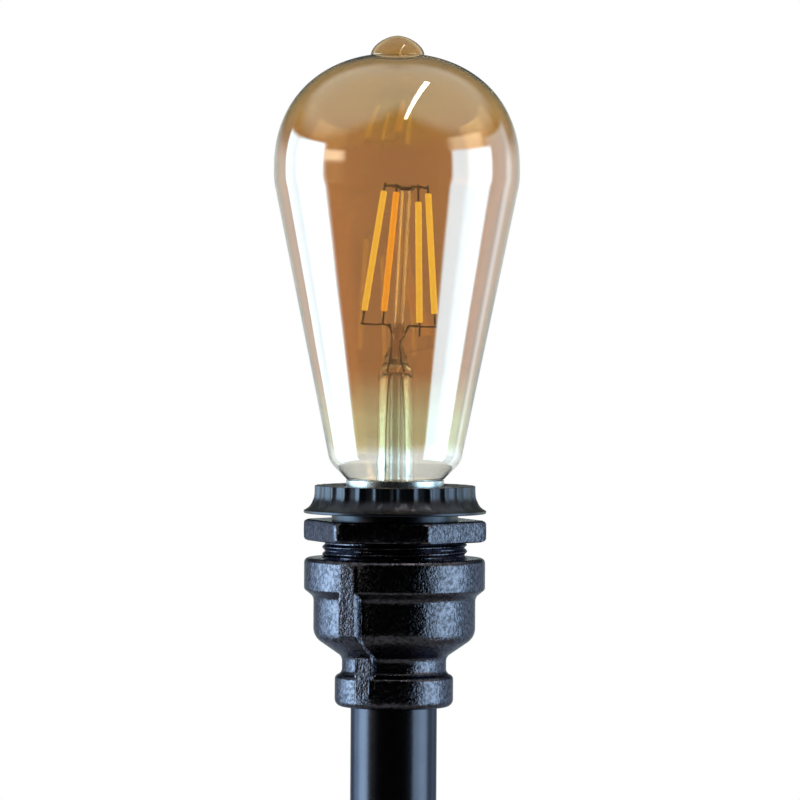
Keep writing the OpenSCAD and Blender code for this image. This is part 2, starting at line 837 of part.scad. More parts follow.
// The dome and its nub, from the widest point to the axis
function glass_dome(wall) =
    let (a = bulb_r - wall, b = dome_h - wall, nub_r = nub_d / 2 - wall, top = bulb_len - wall)
    let (end = acos(pow(nub_r / a, dome_power / 2)))
    let (edge = widest_h + b * pow(sin(end), 2 / dome_power))
    concat(
        [for (i = [1:dome_steps])
            let (t = end * i / dome_steps)
            [a * pow(cos(t), 2 / dome_power), widest_h + b * pow(sin(t), 2 / dome_power)]],
        [for (i = [1:nub_steps])
            let (t = 90 * i / nub_steps) [nub_r * cos(t), edge + (top - edge) * sin(t)]]
    );

function reversed(list) = [for (i = [len(list) - 1:-1:0]) list[i]];

module bulb_glass() {
    outer = concat(glass_side(0), glass_dome(0));
    inner = concat(glass_side(glass_t), glass_dome(glass_t));
    color(amber) translate([0, 0, seam_z]) rotate_extrude() polygon(concat(outer, reversed(inner)));
}

module stem_glass() {
    flare_r = glass_neck_r - glass_t - 2 * fit_clear;
    tube_r = stem_d / 2;
    wall = 0.8;
    flare_top = 4 - neck_in;
    exhaust_r = 1.4;
    pinch_w = 2 * lead_x + 3 * lead_d;
    pinch_t = rod_d + 0.4;
    color(clear_glass) translate([0, 0, seam_z]) difference() {
        union() {
            lathe([
                [flare_r - wall, -neck_in],
                [flare_r, -neck_in],
                [flare_r, 1 - neck_in, 0.4],
                [tube_r + 0.5, flare_top, 2],
                [tube_r, stem_h, 2.6],
                [0, stem_h],
                [0, stem_h - wall],
                [tube_r - wall, stem_h - wall, 1.8],
                [tube_r + 0.5 - wall, flare_top, 2]
            ]);
            translate([0, 0, stem_h - wall]) linear_extrude(pinch_h + wall) union() {
                square([pinch_w - pinch_t, pinch_t], center = true);
                translate([(pinch_w - pinch_t) / 2, 0]) circle(d = pinch_t);
                translate([-(pinch_w - pinch_t) / 2, 0]) circle(d = pinch_t);
            }
            translate([0, 0, -neck_in]) cylinder(r = exhaust_r, h = stem_h + neck_in - wall / 2);
        }
        for (side = [-1, 1]) {
            translate([side * lead_x, 0, stem_h - 3]) cylinder(d = lead_d + 2 * fit_clear, h = pinch_h + 4);
        }
        translate([0, 0, -neck_in - 1]) cylinder(r = exhaust_r - 0.5, h = stem_h + neck_in - 1);
    }
}

module support_rod() {
    rod_z = seam_z + stem_h + pinch_h;
    color(clear_glass) translate([0, 0, rod_z]) cylinder(d = rod_d, h = rod_top_z - rod_z);
}

// Where filament i and its pins lie: the share runs from 0 at its low end to 1 at its top
function filament_point(i, share) =
    let (a = filament_turn + 360 * i / filament_count)
    let (r = filament_low_r + share * (filament_top_r - filament_low_r))
    [r * cos(a), r * sin(a), seam_z + filament_low + share * (filament_top - filament_low)];

filament_rise = filament_top - filament_low;
filament_lean = atan((filament_low_r - filament_top_r) / filament_rise);
pin_share = pin_len / filament_rise;

// The wires pass each pin on one side
pin_pass = lead_d + fit_clear;

function beside_pin(i, share, side) =
    let (a = filament_turn + 360 * i / filament_count)
    filament_point(i, share) + side * pin_pass * [-sin(a), cos(a), 0];

module top_support() {
    collar_top_r = rod_d / 2 + 0.8;
    collar_top_h = 1.6;
    arm_z = rod_top_z - collar_top_h / 2;
    color("#8d8578") difference() {
        union() {
            translate([0, 0, rod_top_z - collar_top_h]) cylinder(r = collar_top_r, h = collar_top_h);
            for (i = [0:filament_count - 1]) {
                end = beside_pin(i, 1 + pin_share * 0.45, 1);
                angle = atan2(end[1], end[0]);
                translate([0, 0, arm_z]) rotate([0, 0, angle]) rotate([0, 90, 0]) {
                    cylinder(d = lead_d, h = norm([end[0], end[1]]) + lead_d);
                }
            }
        }
        translate([0, 0, rod_top_z - 2 * collar_top_h]) {
            cylinder(d = rod_d + 2 * fit_clear, h = 3 * collar_top_h);
        }
    }
}

// Each lead rises through the pinch and bends out to one filament, and a cross wire joins its neighbour
module lead_wires() {
    board_top_z = board_z + board_t;
    lead_sides = 6;
    for (side = [-1, 1]) {
        main = side > 0 ? 0 : 2;
        arm_end = beside_pin(main, -0.6 * pin_share, 1);
        neighbour = (main + 3) % filament_count;
        cross_end = beside_pin(neighbour, -0.6 * pin_share, -1);
        bend = [side * lead_x, 0, lead_bend_z];
        knee = [side * (lead_x + 0.9), 0, arm_end[2] - 0.2];
        color("#6d675f") swept_wire([
            [side * lead_x, 0, board_top_z],
            [side * lead_x, 0, lead_bend_z - 1],
            bend,
            knee,
            arm_end + 0.6 * unit([arm_end[0], arm_end[1], 0])
        ], lead_d, lead_sides);
        color("#6d675f") swept_wire([
            knee + [0, 0, lead_d + fit_clear],
            [cross_end[0], cross_end[1], arm_end[2] + lead_d - filament_drop[neighbour]]
        ], lead_d, lead_sides);
    }
}

module filament(i) {
    a = filament_turn + 360 * i / filament_count;
    length = filament_rise / cos(filament_lean);
    low = filament_point(i, 0) - [0, 0, filament_drop[i]];
    color(phosphor) translate(low) rotate([0, 0, a]) rotate([0, -filament_lean, 0]) union() {
        cylinder(d = filament_d, h = length);
        translate([0, 0, -pin_len]) cylinder(d = lead_d, h = length + 2 * pin_len);
    }
}

module filament_1() {
    filament(0);
}

module filament_2() {
    filament(1);
}

module filament_3() {
    filament(2);
}

module filament_4() {
    filament(3);
}

// Bulb cap

module cap_shell() {
    low_z = seam_z - cap_shell_len;
    thread_top = seam_z - collar_h;
    steps = thread_steps(cap_shell_len);
    fade = function(z) max(0, min(1, (z - low_z) / thread_fade, (thread_top - z) / thread_fade));
    rolled_r = function(z, a) cap_root_r + cap_thread_depth * fade(z) * thread_wave(z, a);
    color(nickel) wavy_tube(
        spread(low_z, seam_z, steps),
        [low_z, seam_z],
        function(z, a) z > thread_top ? collar_r : rolled_r(z, a),
        function(z, a) cap_bore_r / cos(180 / thread_sides)
    );
}

insulator_low_z = cap_tip_z + 1.6;
insulator_top_z = seam_z - cap_shell_len + 1;
tip_stem_r = 1.6;

module cap_insulator() {
    hole_r = tip_stem_r + 2 * fit_clear;
    rim_r = cap_bore_r - fit_clear;
    color("#1a1a1c") lathe([
        [hole_r, insulator_low_z],
        [tip_d / 2 + 0.5, insulator_low_z, 0.5],
        [rim_r, insulator_top_z - 2, 1],
        [rim_r, insulator_top_z],
        [hole_r, insulator_top_z]
    ]);
}

module cap_cement() {
    color("#d9d0b4") lathe([
        [glass_neck_r + fit_clear, seam_z - neck_in],
        [cap_bore_r - fit_clear, seam_z - neck_in],
        [cap_bore_r - fit_clear, seam_z - 1],
        [glass_neck_r + fit_clear, seam_z - 1]
    ]);
}

module tip_contact() {
    face_z = insulator_low_z - fit_clear;
    color("#b9b6ae") lathe([
        [0, cap_tip_z],
        [tip_d / 2 - 0.9, cap_tip_z, 1],
        [tip_d / 2, cap_tip_z + 1.2, 0.3],
        [tip_d / 2, face_z],
        [tip_stem_r, face_z],
        [tip_stem_r, insulator_top_z - 2],
        [0, insulator_top_z - 2]
    ]);
}

module tip_wire() {
    color(brass) translate([0, 0, insulator_top_z - 2 + fit_clear]) {
        cylinder(d = 1, h = board_z - insulator_top_z + 2 - 2 * fit_clear);
    }
}

module driver_board() {
    color("#2f6b4a") translate([0, 0, board_z]) cylinder(r = cap_bore_r - loose_clear, h = board_t);
}

module driver_parts() {
    room = board_z - insulator_top_z - loose_clear;
    color("#2b2d30") translate([5, 0, board_z - room]) cylinder(d = 5.2, h = room);
    color("#1c1c1e") translate([-7.5, -2, board_z - 1.6]) cube([4.4, 4, 1.6]);
    color("#3a2a1c") translate([-2, 4.5, board_z - 2.4]) cube([4, 3.2, 2.4]);
    color("#b08d57") translate([-1.6, -7.6, board_z - 1.2]) cube([3.2, 1.8, 1.2]);
}

flange();
flange_hub();
pipe();
reducer();
hex_bush();
shade_ring();
holder_barrel();
screw_shell();
contact_carrier();
retaining_ring();
centre_contact();
contact_foot();
live_terminal();
neutral_terminal();
terminal_screws();
shell_strap();
live_wire();
neutral_wire();
earth_wire();
wire_ferrules();
earth_lug();
earth_screw();
wire_bush();
bulb_glass();
stem_glass();
support_rod();
top_support();
lead_wires();
filament_1();
filament_2();
filament_3();
filament_4();
cap_shell();
cap_insulator();
cap_cement();
tip_contact();
tip_wire();
driver_board();
driver_parts();
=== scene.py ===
"""Builds the visible pieces of a pipe lamp around its CAD frame, and a plain studio to see it in."""

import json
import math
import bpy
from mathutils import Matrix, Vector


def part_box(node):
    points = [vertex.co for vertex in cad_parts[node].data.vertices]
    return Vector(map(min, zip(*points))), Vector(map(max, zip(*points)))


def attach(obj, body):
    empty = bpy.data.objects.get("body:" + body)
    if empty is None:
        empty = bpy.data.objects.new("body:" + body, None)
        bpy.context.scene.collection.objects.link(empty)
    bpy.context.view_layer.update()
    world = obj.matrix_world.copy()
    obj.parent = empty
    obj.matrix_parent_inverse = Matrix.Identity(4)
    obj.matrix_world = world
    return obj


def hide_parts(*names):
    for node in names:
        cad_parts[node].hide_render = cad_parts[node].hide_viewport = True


bl_info = {
    "name": "Pipe Lamp",
    "version": (1, 0, 0),
    "blender": (4, 5, 0),
    "location": "View3D > Sidebar > Pipe Lamp",
    "description": "Dresses a pipe lamp with an amber filament bulb in glass, cast iron and moulded plastic",
    "category": "Object",
}

import bmesh
import bpy
from bpy.props import FloatProperty, FloatVectorProperty, IntProperty, PointerProperty
from mathutils import Matrix, Vector

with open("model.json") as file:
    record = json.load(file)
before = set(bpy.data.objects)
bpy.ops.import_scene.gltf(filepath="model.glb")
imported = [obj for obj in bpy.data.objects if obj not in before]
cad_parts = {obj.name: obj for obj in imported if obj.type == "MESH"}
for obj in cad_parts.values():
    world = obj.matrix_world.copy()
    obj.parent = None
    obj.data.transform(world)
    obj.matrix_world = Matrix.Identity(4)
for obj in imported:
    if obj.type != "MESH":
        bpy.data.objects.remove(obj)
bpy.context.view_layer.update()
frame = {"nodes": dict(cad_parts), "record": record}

MM = 0.001
TAU = 2 * math.pi

# Kinds of node that many trees share
MATH, VECTOR_MATH, RANGE = "ShaderNodeMath", "ShaderNodeVectorMath", "ShaderNodeMapRange"
NOISE, MIX, BUMP, RAMP = "ShaderNodeTexNoise", "ShaderNodeMix", "ShaderNodeBump", "ShaderNodeValToRGB"
SPLIT, COMBINE = "ShaderNodeSeparateXYZ", "ShaderNodeCombineXYZ"
SMOOTH = {"interpolation_type": "SMOOTHSTEP"}


def srgb(code):
    """A hex colour as linear RGBA."""
    parts = [int(code[i : i + 2], 16) / 255 for i in (1, 3, 5)]
    return [p / 12.92 if p <= 0.04045 else ((p + 0.055) / 1.055) ** 2.4 for p in parts] + [1.0]


def extent(node):
    """A CAD node's lowest and highest level and its outer radius, in millimetres."""
    least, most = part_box(node)[0] / MM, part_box(node)[1] / MM
    return least.z, most.z, most.x


# Tints of the highlights on black plastic and of the edges of black paint
PLASTIC_SHINE = srgb("#ece6ff")
PAINT_EDGE = srgb("#bcc3d2")

# Heights and radii that the CAD frame fixes, in millimetres
NECK_LOW, BULB_TIP, BULB_R = extent("bulb_glass")
CAP_LOW, SEAM, CAP_R = extent("cap_shell")
ROD_LOW, ROD_TOP, ROD_R = extent("support_rod")
STAR_LOW, STAR_TOP, _ = extent("top_support")
LEADS_LOW, _, _ = extent("lead_wires")
RING_LOW, RING_TOP, RING_FOOT_R = extent("shade_ring")
BARREL_LOW, _, BARREL_R = extent("holder_barrel")
BUSH_LOW, HEX_TOP, _ = extent("hex_bush")
REDUCER_LOW, REDUCER_TOP, BIG_BAND_R = extent("reducer")
PIPE_LOW, PIPE_TOP, PIPE_R = extent("pipe")
_, PLATE_TOP, PLATE_R = extent("flange")
_, HUB_TOP, _ = extent("flange_hub")


def length_property(name, description, millimetres):
    """A length that a user may change."""
    return FloatProperty(name=name, description=description, default=millimetres * MM, unit="LENGTH")


def angle_property(name, description, degrees):
    """An angle that a user may change."""
    return FloatProperty(name=name, description=description, default=math.radians(degrees), subtype="ANGLE")


def colour_property(name, description, code):
    """A colour that a user may change."""
    rgba = srgb(code)
    return FloatVectorProperty(name=name, description=description, default=rgba, size=4, subtype="COLOR")


class LampSizes(bpy.types.PropertyGroup):
    """Sizes of the visible pieces that the CAD frame leaves open."""

    glass_wall: length_property("Glass Wall", "Thickness of the blown glass", 0.6)
    dome_power: FloatProperty(
        name="Dome Fullness", description="2 is an ellipse, and more is a squarer dome", default=2.2
    )
    nub_radius: length_property("Nub Radius", "Radius of the nub on the bulb's tip", 7.0)
    cap_pitch: length_property("Cap Pitch", "Climb of the cap's thread in one turn", 3.6286)
    bush_pitch: length_property("Bush Pitch", "Climb of the bush's thread in one turn", 1.8)
    flutes: IntProperty(name="Flutes", description="Grip flutes around the shade ring", default=28, min=8)
    flute_depth: length_property("Flute Depth", "Depth of each grip flute", 0.54)
    filament_diameter: length_property("Filament Diameter", "Diameter of a filament", 1.7)
    wire_diameter: length_property("Wire Diameter", "Diameter of the wires in the bulb", 0.6)
    lean: angle_property("Lean", "Tilt of the rod and its filaments", 2.7)
    sides: IntProperty(name="Sides", description="Facets around each turned piece", default=192, min=48)


class LampColours(bpy.types.PropertyGroup):
    """Colours of the finishes, as linear values."""

    crown: colour_property("Crown", "Coated glass at the dome", "#d4b878")
    tip: colour_property("Tip", "Coated glass at the nub", "#c9af84")
    amber: colour_property("Amber", "Coated glass at the body", "#d0ab83")
    fringe: colour_property("Fringe", "Thin coating above the neck", "#dcd4b5")
    bare_glass: colour_property("Bare Glass", "Uncoated glass at the neck", "#f6f8f5")
    iron: colour_property("Iron", "Black paint on the castings", "#5b565e")
    phosphor: colour_property("Phosphor", "Filament coating", "#ffea69")
    # Painted shade: a redder, darker copy of the phosphor colour for the back filament's unlit side
    shaded_phosphor: colour_property("Deep Phosphor", "The redder filament", "#ffc442")


class LampStudio(bpy.types.PropertyGroup):
    """Camera, light and floor."""

    camera_distance: length_property("Camera Distance", "From the lamp's axis", 1560.0)
    camera_height: length_property("Camera Height", "Above the mounting face", 260.0)
    aim_height: length_property("Aim Height", "Height at the middle of the picture", 222.9)
    aim_side: length_property("Aim Side", "Sideways place of the picture's middle", 1.15)
    roll: angle_property("Roll", "Turn of the camera about its view", 0.34)
    pixels_per_mm: FloatProperty(
        name="Pixels per Millimetre", description="Scale of the picture at the lamp's axis", default=3.84
    )
    floor_colour: colour_property("Floor", "Pale floor", "#efedea")
    side_light: colour_property("Side Light", "Cool side light", "#c0eaff")
    warm_light: colour_property("Warm Light", "Warm patches of light", "#fff4d6")


# Shared makers


def feed(tree, socket, value):
    """Links a socket to another node's socket, or sets its constant."""
    if isinstance(value, bpy.types.NodeSocket):
        tree.links.new(value, socket)
    else:
        socket.default_value = value


def add(tree, kind, inputs=(), out=0, **settings):
    """Adds a node with its settings and its inputs, in order or by name, and gives one output, or all."""
    node = tree.nodes.new(kind)
    for key, value in settings.items():
        setattr(node, key, value)
    named = inputs if isinstance(inputs, dict) else dict(enumerate(inputs))
    for key, value in named.items():
        feed(tree, node.inputs[key], value)
    return node.outputs if out is None else node.outputs[out]


def shader(name):
    """A new material, its tree and the piece's Object coordinates."""
    material = bpy.data.materials.new(name)
    material.use_nodes = True
    tree = material.node_tree
    return material, tree, add(tree, "ShaderNodeTexCoord", out="Object")


def finish_with(tree, **values):
    """Sets or links sockets of a material's Principled shader."""
    sockets = tree.nodes["Principled BSDF"].inputs
    for key, value in values.items():
        feed(tree, sockets[key.replace("_", " ")], value)


def grained(name, dark, light, patch_mm, grain_mm, relief_mm, roughness, **finish):
    """A surface with soft patches between two colours, a fine grain that lifts it, and uneven gloss. Pieces
    that ask for the same name share it."""
    if name in bpy.data.materials:
        return bpy.data.materials[name]
    material, tree, place = shader(name)
    patches = add(tree, NOISE, {"Vector": place, "Scale": 1 / (patch_mm * MM), "Detail": 3.0})
    tint = add(tree, MIX, {0: patches, 6: srgb(dark), 7: srgb(light)}, 2, data_type="RGBA")
    grain = add(tree, NOISE, {"Vector": place, "Scale": 1 / (grain_mm * MM), "Detail": 4.0})
    gloss = add(tree, RANGE, (grain, 0.3, 0.7, *roughness))
    lift = add(tree, BUMP, {"Height": grain, "Distance": relief_mm * MM})
    finish_with(tree, Base_Color=tint, Roughness=gloss, Normal=lift, **finish)
    return material


def arc_corner(before, corner, after, radius, steps=8):
    """Points of the arc that rounds a corner of an outline."""
    a, b, c = Vector(before), Vector(corner), Vector(after)
    u, v = (a - b).normalized(), (c - b).normalized()
    half = math.acos(max(-1.0, min(1.0, u.dot(v)))) / 2
    reach = min(radius / math.tan(half), 0.48 * min((a - b).length, (c - b).length))
    arc_radius = reach * math.tan(half)
    centre = b + (u + v).normalized() * arc_radius / math.sin(half)
    start, stop = b + u * reach - centre, b + v * reach - centre
    first = math.atan2(start.y, start.x)
    sweep = (math.atan2(stop.y, stop.x) - first + math.pi) % TAU - math.pi
    angles = [first + sweep * i / steps for i in range(steps + 1)]
    return [(centre.x + arc_radius * math.cos(t), centre.y + arc_radius * math.sin(t)) for t in angles]


def rounded(*corners, closed=True):
    """An outline of (radius, height) or (radius, height, fillet) corners with its fillets put in."""
    count, points = len(corners), []
    for i, corner in enumerate(corners):
        at_end = not closed and i in (0, count - 1)
        if len(corner) == 2 or at_end:
            points.append(corner[:2])
        else:
            points += arc_corner(corners[i - 1][:2], corner[:2], corners[(i + 1) % count][:2], corner[2])
    return points


def sleeve(inner_r, outer_r, low, high, *fillet):
    """The outline of a plain sleeve, or of a rod where the inner radius is 0, and its outer edges' fillet."""
    return rounded((inner_r, low), (outer_r, low, *fillet), (outer_r, high, *fillet), (inner_r, high))


def graded(points, step):
    """The same outline with its long straight stretches cut into steps."""
    fine = []
    for (r0, z0), (r1, z1) in zip(points, points[1:] + points[:1]):
        cuts = max(1, round(math.hypot(r1 - r0, z1 - z0) / step))
        fine += [(r0 + (r1 - r0) * i / cuts, z0 + (z1 - z0) * i / cuts) for i in range(cuts)]
    return fine


def turned(name, outlines, sides=None, crease=32.0):
    """A mesh object turned about the lamp's axis from closed outlines of (radius, height) in millimetres.
    A radius may be a function of the angle."""
    sides = sides or bpy.context.scene.lamp_sizes.sides
    angles = [TAU * i / sides for i in range(sides)]
    work = bmesh.new()
    for outline in outlines:
        rings = []
        for radius, height in outline:
            if not callable(radius) and radius < 1e-6:
                rings.append([work.verts.new((0, 0, height * MM))])
                continue
            spans = [radius(a) if callable(radius) else radius for a in angles]
            spots = [(r * math.cos(a) * MM, r * math.sin(a) * MM, height * MM) for r, a in zip(spans, angles)]
            rings.append([work.verts.new(spot) for spot in spots])
        for one, two in zip(rings, rings[1:] + rings[:1]):
            if len(one) == 1 and len(two) == 1:
                continue
            for i in range(sides):
                j = (i + 1) % sides
                around = [one[i % len(one)], one[j % len(one)], two[j % len(two)], two[i % len(two)]]
                work.faces.new(list(dict.fromkeys(around)))
    return finished(name, work, crease)


def finished(name, work, crease=32.0):
    """Closes up a bmesh, turns its faces outwards and links it as an object with smooth faces."""
    bmesh.ops.remove_doubles(work, verts=work.verts, dist=1e-7)
    bmesh.ops.recalc_face_normals(work, faces=work.faces)
    mesh = bpy.data.meshes.new(name)
    work.to_mesh(mesh)
    work.free()
    return placed(name, mesh, crease)


def linked(name, data):
    """A new object of that data in the scene, at the origin."""
    piece = bpy.data.objects.new(name, data)
    bpy.context.scene.collection.objects.link(piece)
    return piece


def placed(name, mesh, crease=32.0):
    """An object of that mesh, smooth up to the crease angle."""
    mesh.polygons.foreach_set("use_smooth", [True] * len(mesh.polygons))
    mesh.set_sharp_from_angle(angle=math.radians(crease))
    return linked(name, mesh)


def evaluated(piece, crease=32.0):
    """The piece's modifiers turned into a plain mesh on a new object of the same name."""
    name = piece.name
    seen = piece.evaluated_get(bpy.context.evaluated_depsgraph_get())
    mesh = bpy.data.meshes.new_from_object(seen)
    bpy.data.objects.remove(piece)
    work = bmesh.new()
    work.from_mesh(mesh)
    bpy.data.meshes.remove(mesh)
    return finished(name, work, crease)


def ruled(piece, tree, material, crease=32.0, **values):
    """Runs a Geometry Nodes tree on a piece with named inputs and keeps the plain mesh."""
    modifier = piece.modifiers.new(tree.name, "NODES")
    modifier.node_group = tree
    sockets = {s.name: s.identifier for s in tree.interface.items_tree if s.in_out == "INPUT"}
    for key, value in {**values, "Material": material}.items():
        modifier[sockets[key]] = value
    return evaluated(piece, crease)


def dress(piece, material, body, slot, *nodes):
    """Gives a piece its material and body, and hides the CAD nodes that it stands for. The record slot is not
    used.
    """
    piece.data.materials.clear()
    piece.data.materials.append(material)
    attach(piece, body)
    if nodes:
        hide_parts(*nodes)


def new_tree(name, **inputs):
    """An empty Geometry Nodes tree with a geometry in and out, the named inputs and a material."""
    tree = bpy.data.node_groups.new(name, "GeometryNodeTree")
    for key, kind in {"Geometry": "Geometry", **inputs, "Material": "Material"}.items():
        tree.interface.new_socket(key, in_out="INPUT", socket_type=f"NodeSocket{kind}")
    tree.interface.new_socket("Geometry", in_out="OUTPUT", socket_type="NodeSocketGeometry")
    return tree, add(tree, "NodeGroupInput", out=None)


def close_tree(tree, geometry, material):
    """Ends a tree in real geometry with its material."""
    real = add(tree, "GeometryNodeRealizeInstances", {"Geometry": geometry})
    coated = add(tree, "GeometryNodeSetMaterial", {"Geometry": real, "Material": material})
    add(tree, "NodeGroupOutput", {"Geometry": coated}, None)
    return tree


def relief_tree():
    """Ribs on a turned wall, outside its core radius: straight flutes, or a thread that climbs by a pitch."""
    reals = ("Pitch", "Depth", "Low", "High", "Fade", "Core", "Sharpness")
    tree, given = new_tree("TurnedRelief", Ribs="Int", **dict.fromkeys(reals, "Float"))
    spot = add(tree, SPLIT, (add(tree, "GeometryNodeInputPosition"),), None)
    angle = add(tree, MATH, (spot["Y"], spot["X"]), operation="ARCTAN2")
    around = add(tree, MATH, (angle, given["Ribs"]), operation="MULTIPLY")
    climbs = add(tree, MATH, (spot["Z"], given["Pitch"]), operation="DIVIDE")
    climb = add(tree, MATH, (climbs, TAU), operation="MULTIPLY")
    phase = add(tree, MATH, (climb, around), operation="SUBTRACT")
    swing = add(tree, MATH, (phase,), operation="COSINE")
    wave = add(tree, MATH, (swing, 0.5, 0.5), operation="MULTIPLY_ADD")
    rib = add(tree, MATH, (wave, given["Sharpness"]), operation="POWER")
    shares = [rib]
    for end, operation in ((given["Low"], "ADD"), (given["High"], "SUBTRACT")):
        full = add(tree, MATH, (end, given["Fade"]), operation=operation)
        shares.append(add(tree, RANGE, (spot["Z"], end, full), **SMOOTH))
    level = add(tree, COMBINE, (spot["X"], spot["Y"]))
    reach = add(tree, VECTOR_MATH, (level,), "Value", operation="LENGTH")
    shares.append(add(tree, MATH, (reach, given["Core"]), operation="GREATER_THAN"))
    amount = given["Depth"]
    for share in shares:
        amount = add(tree, MATH, (amount, share), operation="MULTIPLY")
    outward = add(tree, VECTOR_MATH, (level,), operation="NORMALIZE")
    shift = add(tree, VECTOR_MATH, {0: outward, "Scale": amount}, operation="SCALE")
    moved = add(tree, "GeometryNodeSetPosition", {"Geometry": given["Geometry"], "Offset": shift})
    return close_tree(tree, moved, given["Material"])


def spread_tree():
    """Copies of one piece, spread evenly around the lamp's axis."""
    tree, given = new_tree("SpreadAround", Count="Int", Turn="Float")
    share = add(tree, MATH, (add(tree, "GeometryNodeInputIndex"), given["Count"]), operation="DIVIDE")
    angle = add(tree, MATH, (share, TAU, given["Turn"]), operation="MULTIPLY_ADD")
    turn = add(tree, COMBINE, {"Z": angle})
    spots = add(tree, "GeometryNodePoints", {"Count": given["Count"]})
    inputs = {"Points": spots, "Instance": given["Geometry"], "Rotation": turn}
    copies = add(tree, "GeometryNodeInstanceOnPoints", inputs)
    return close_tree(tree, copies, given["Material"])


def wire_tree():
    """A round wire along each of a curve's lines."""
    tree, given = new_tree("RoundWire", Radius="Float")
    ring = add(tree, "GeometryNodeCurvePrimitiveCircle", {"Resolution": 12, "Radius": given["Radius"]})
    inputs = {"Curve": given["Geometry"], "Profile Curve": ring, "Fill Caps": True}
    return close_tree(tree, add(tree, "GeometryNodeCurveToMesh", inputs), given["Material"])


def bent_wires(name, paths, diameter, material):
    """Round wires along smooth paths through points in millimetres."""
    curve = bpy.data.curves.new(name, "CURVE")
    curve.dimensions = "3D"
    for path in paths:
        line = curve.splines.new("BEZIER")
        line.bezier_points.add(len(path) - 1)
        line.resolution_u = 6
        for knot, point in zip(line.bezier_points, path):
            knot.co = Vector(point) * MM
            knot.handle_left_type = knot.handle_right_type = "AUTO"
    return ruled(linked(name, curve), wire_tree(), material, Radius=diameter / 2)


# Finishes


def amber_glass(name, lustre):
    """Blown soda-lime glass with an amber stain that thins out to bare glass at the neck. Its lustre mirrors
    the room more than bare glass does and ends at the nub, and the blown wall bends those mirror images."""
    colours = bpy.context.scene.lamp_colours
    material, tree, place = shader(name)
    height = add(tree, SPLIT, (place,), "Z")
    along = add(tree, RANGE, (height, SEAM * MM, BULB_TIP * MM))
    runs = add(tree, NOISE, {"Vector": place, "Scale": 1 / (6 * MM), "Detail": 3.0})
    uneven = add(tree, MATH, (runs, 0.05, -0.025), operation="MULTIPLY_ADD")
    stain = add(tree, RAMP, (add(tree, MATH, (along, uneven), operation="ADD"),))
    stops = stain.node.color_ramp.elements
    stops[0].position, stops[0].color = 0.055, colours.bare_glass
    stops[1].position, stops[1].color = 0.97, colours.tip
    bands = ((0.085, 0.14, colours.fringe), (0.25, 0.74, colours.amber), (0.84, 0.91, colours.crown))
    for start, stop, colour in bands:
        stops.new(start).color = colour
        stops.new(stop).color = colour
    waves = add(tree, NOISE, {"Vector": place, "Scale": 1 / (26 * MM), "Detail": 1.0})
    lift = add(tree, BUMP, {"Height": waves, "Distance": 0.5 * MM})
    mirror = add(tree, RANGE, (along, 0.95, 0.965, lustre, 0.0), **SMOOTH)
    finish_with(tree, Base_Color=stain, Normal=lift, Roughness=0.0, IOR=1.38, Transmission_Weight=1.0)
    finish_with(tree, Coat_Weight=mirror, Coat_IOR=2.15, Coat_Roughness=0.0)
    return material


def clear_glass():
    """Drawn lead glass of the stem and rod: clear with bright edges. Where it was pressed around the wires it
    is lumpy, and the copper on the wires stains it brown."""
    material, tree, place = shader("drawn_lead_glass")
    height = add(tree, SPLIT, (place,), "Z")
    along = add(tree, RANGE, (height, SEAM * MM, (SEAM + 60) * MM))
    press = add(tree, RAMP, (along,))
    stops = press.node.color_ramp.elements
    stops[0].position, stops[0].color = 0.48, (0, 0, 0, 1)
    stops[1].position, stops[1].color = 0.69, (0, 0, 0, 1)
    for share in (0.52, 0.65):
        stops.new(share).color = (1, 1, 1, 1)
    lumps = add(tree, NOISE, {"Vector": place, "Scale": 1 / (1.6 * MM), "Detail": 2.0})
    stain = add(tree, MATH, (press, lumps), operation="MULTIPLY")
    tint = add(tree, MIX, {0: stain, 6: srgb("#fbfdfb"), 7: srgb("#8a5a3c")}, 2, data_type="RGBA")
    lift = add(tree, BUMP, {"Height": stain, "Distance": 0.35 * MM})
    finish_with(tree, Base_Color=tint, Normal=lift, Roughness=0.0, IOR=1.56, Transmission_Weight=1.0)
    finish_with(tree, Coat_Weight=1.0, Coat_IOR=1.8, Coat_Roughness=0.0)
    return material


def cast_iron_paint():
    """Thin black paint on sand-cast iron: a dark metal shine that the sand's grain breaks into sparkles."""
    material, tree, place = shader("black_paint_on_cast_iron")
    lumps = add(tree, NOISE, {"Vector": place, "Scale": 1 / (3.5 * MM), "Detail": 2.0})
    sand = add(tree, NOISE, {"Vector": place, "Scale": 1 / (0.65 * MM), "Detail": 4.0})
    dust = add(tree, NOISE, {"Vector": place, "Scale": 1 / (1.0 * MM), "Detail": 3.0})
    worn = add(tree, RANGE, (dust, 0.36, 0.58))
    iron = bpy.context.scene.lamp_colours.iron
    tint = add(tree, MIX, {0: worn, 6: srgb("#3a373c"), 7: iron}, 2, data_type="RGBA")
    height = add(tree, MATH, (lumps, 0.9, sand), operation="MULTIPLY_ADD")
    lift = add(tree, BUMP, {"Height": height, "Distance": 0.15 * MM})
    gloss = add(tree, RANGE, (sand, 0.42, 0.62, 0.08, 0.26))
    finish_with(tree, Base_Color=tint, Roughness=gloss, Normal=lift, Metallic=1.0, Specular_Tint=PAINT_EDGE)
    return material


def pipe_paint():
    """Thin satin black paint on drawn steel pipe: smooth, with a soft metal shine along its length."""
    finish = {"roughness": (0.18, 0.26), "Metallic": 1.0, "Specular_Tint": PAINT_EDGE}
    return grained("satin_black_paint_on_pipe", "#39363c", "#434046", 9.0, 0.5, 0.012, **finish)


def phenolic():
    """Moulded black phenolic: smooth from the mould, nearly black, with a clean highlight."""
    finish = {"roughness": (0.26, 0.38), "IOR": 1.5, "Specular_Tint": PLASTIC_SHINE}
    return grained("moulded_black_phenolic", "#030405", "#070809", 6.0, 0.4, 0.01, **finish)


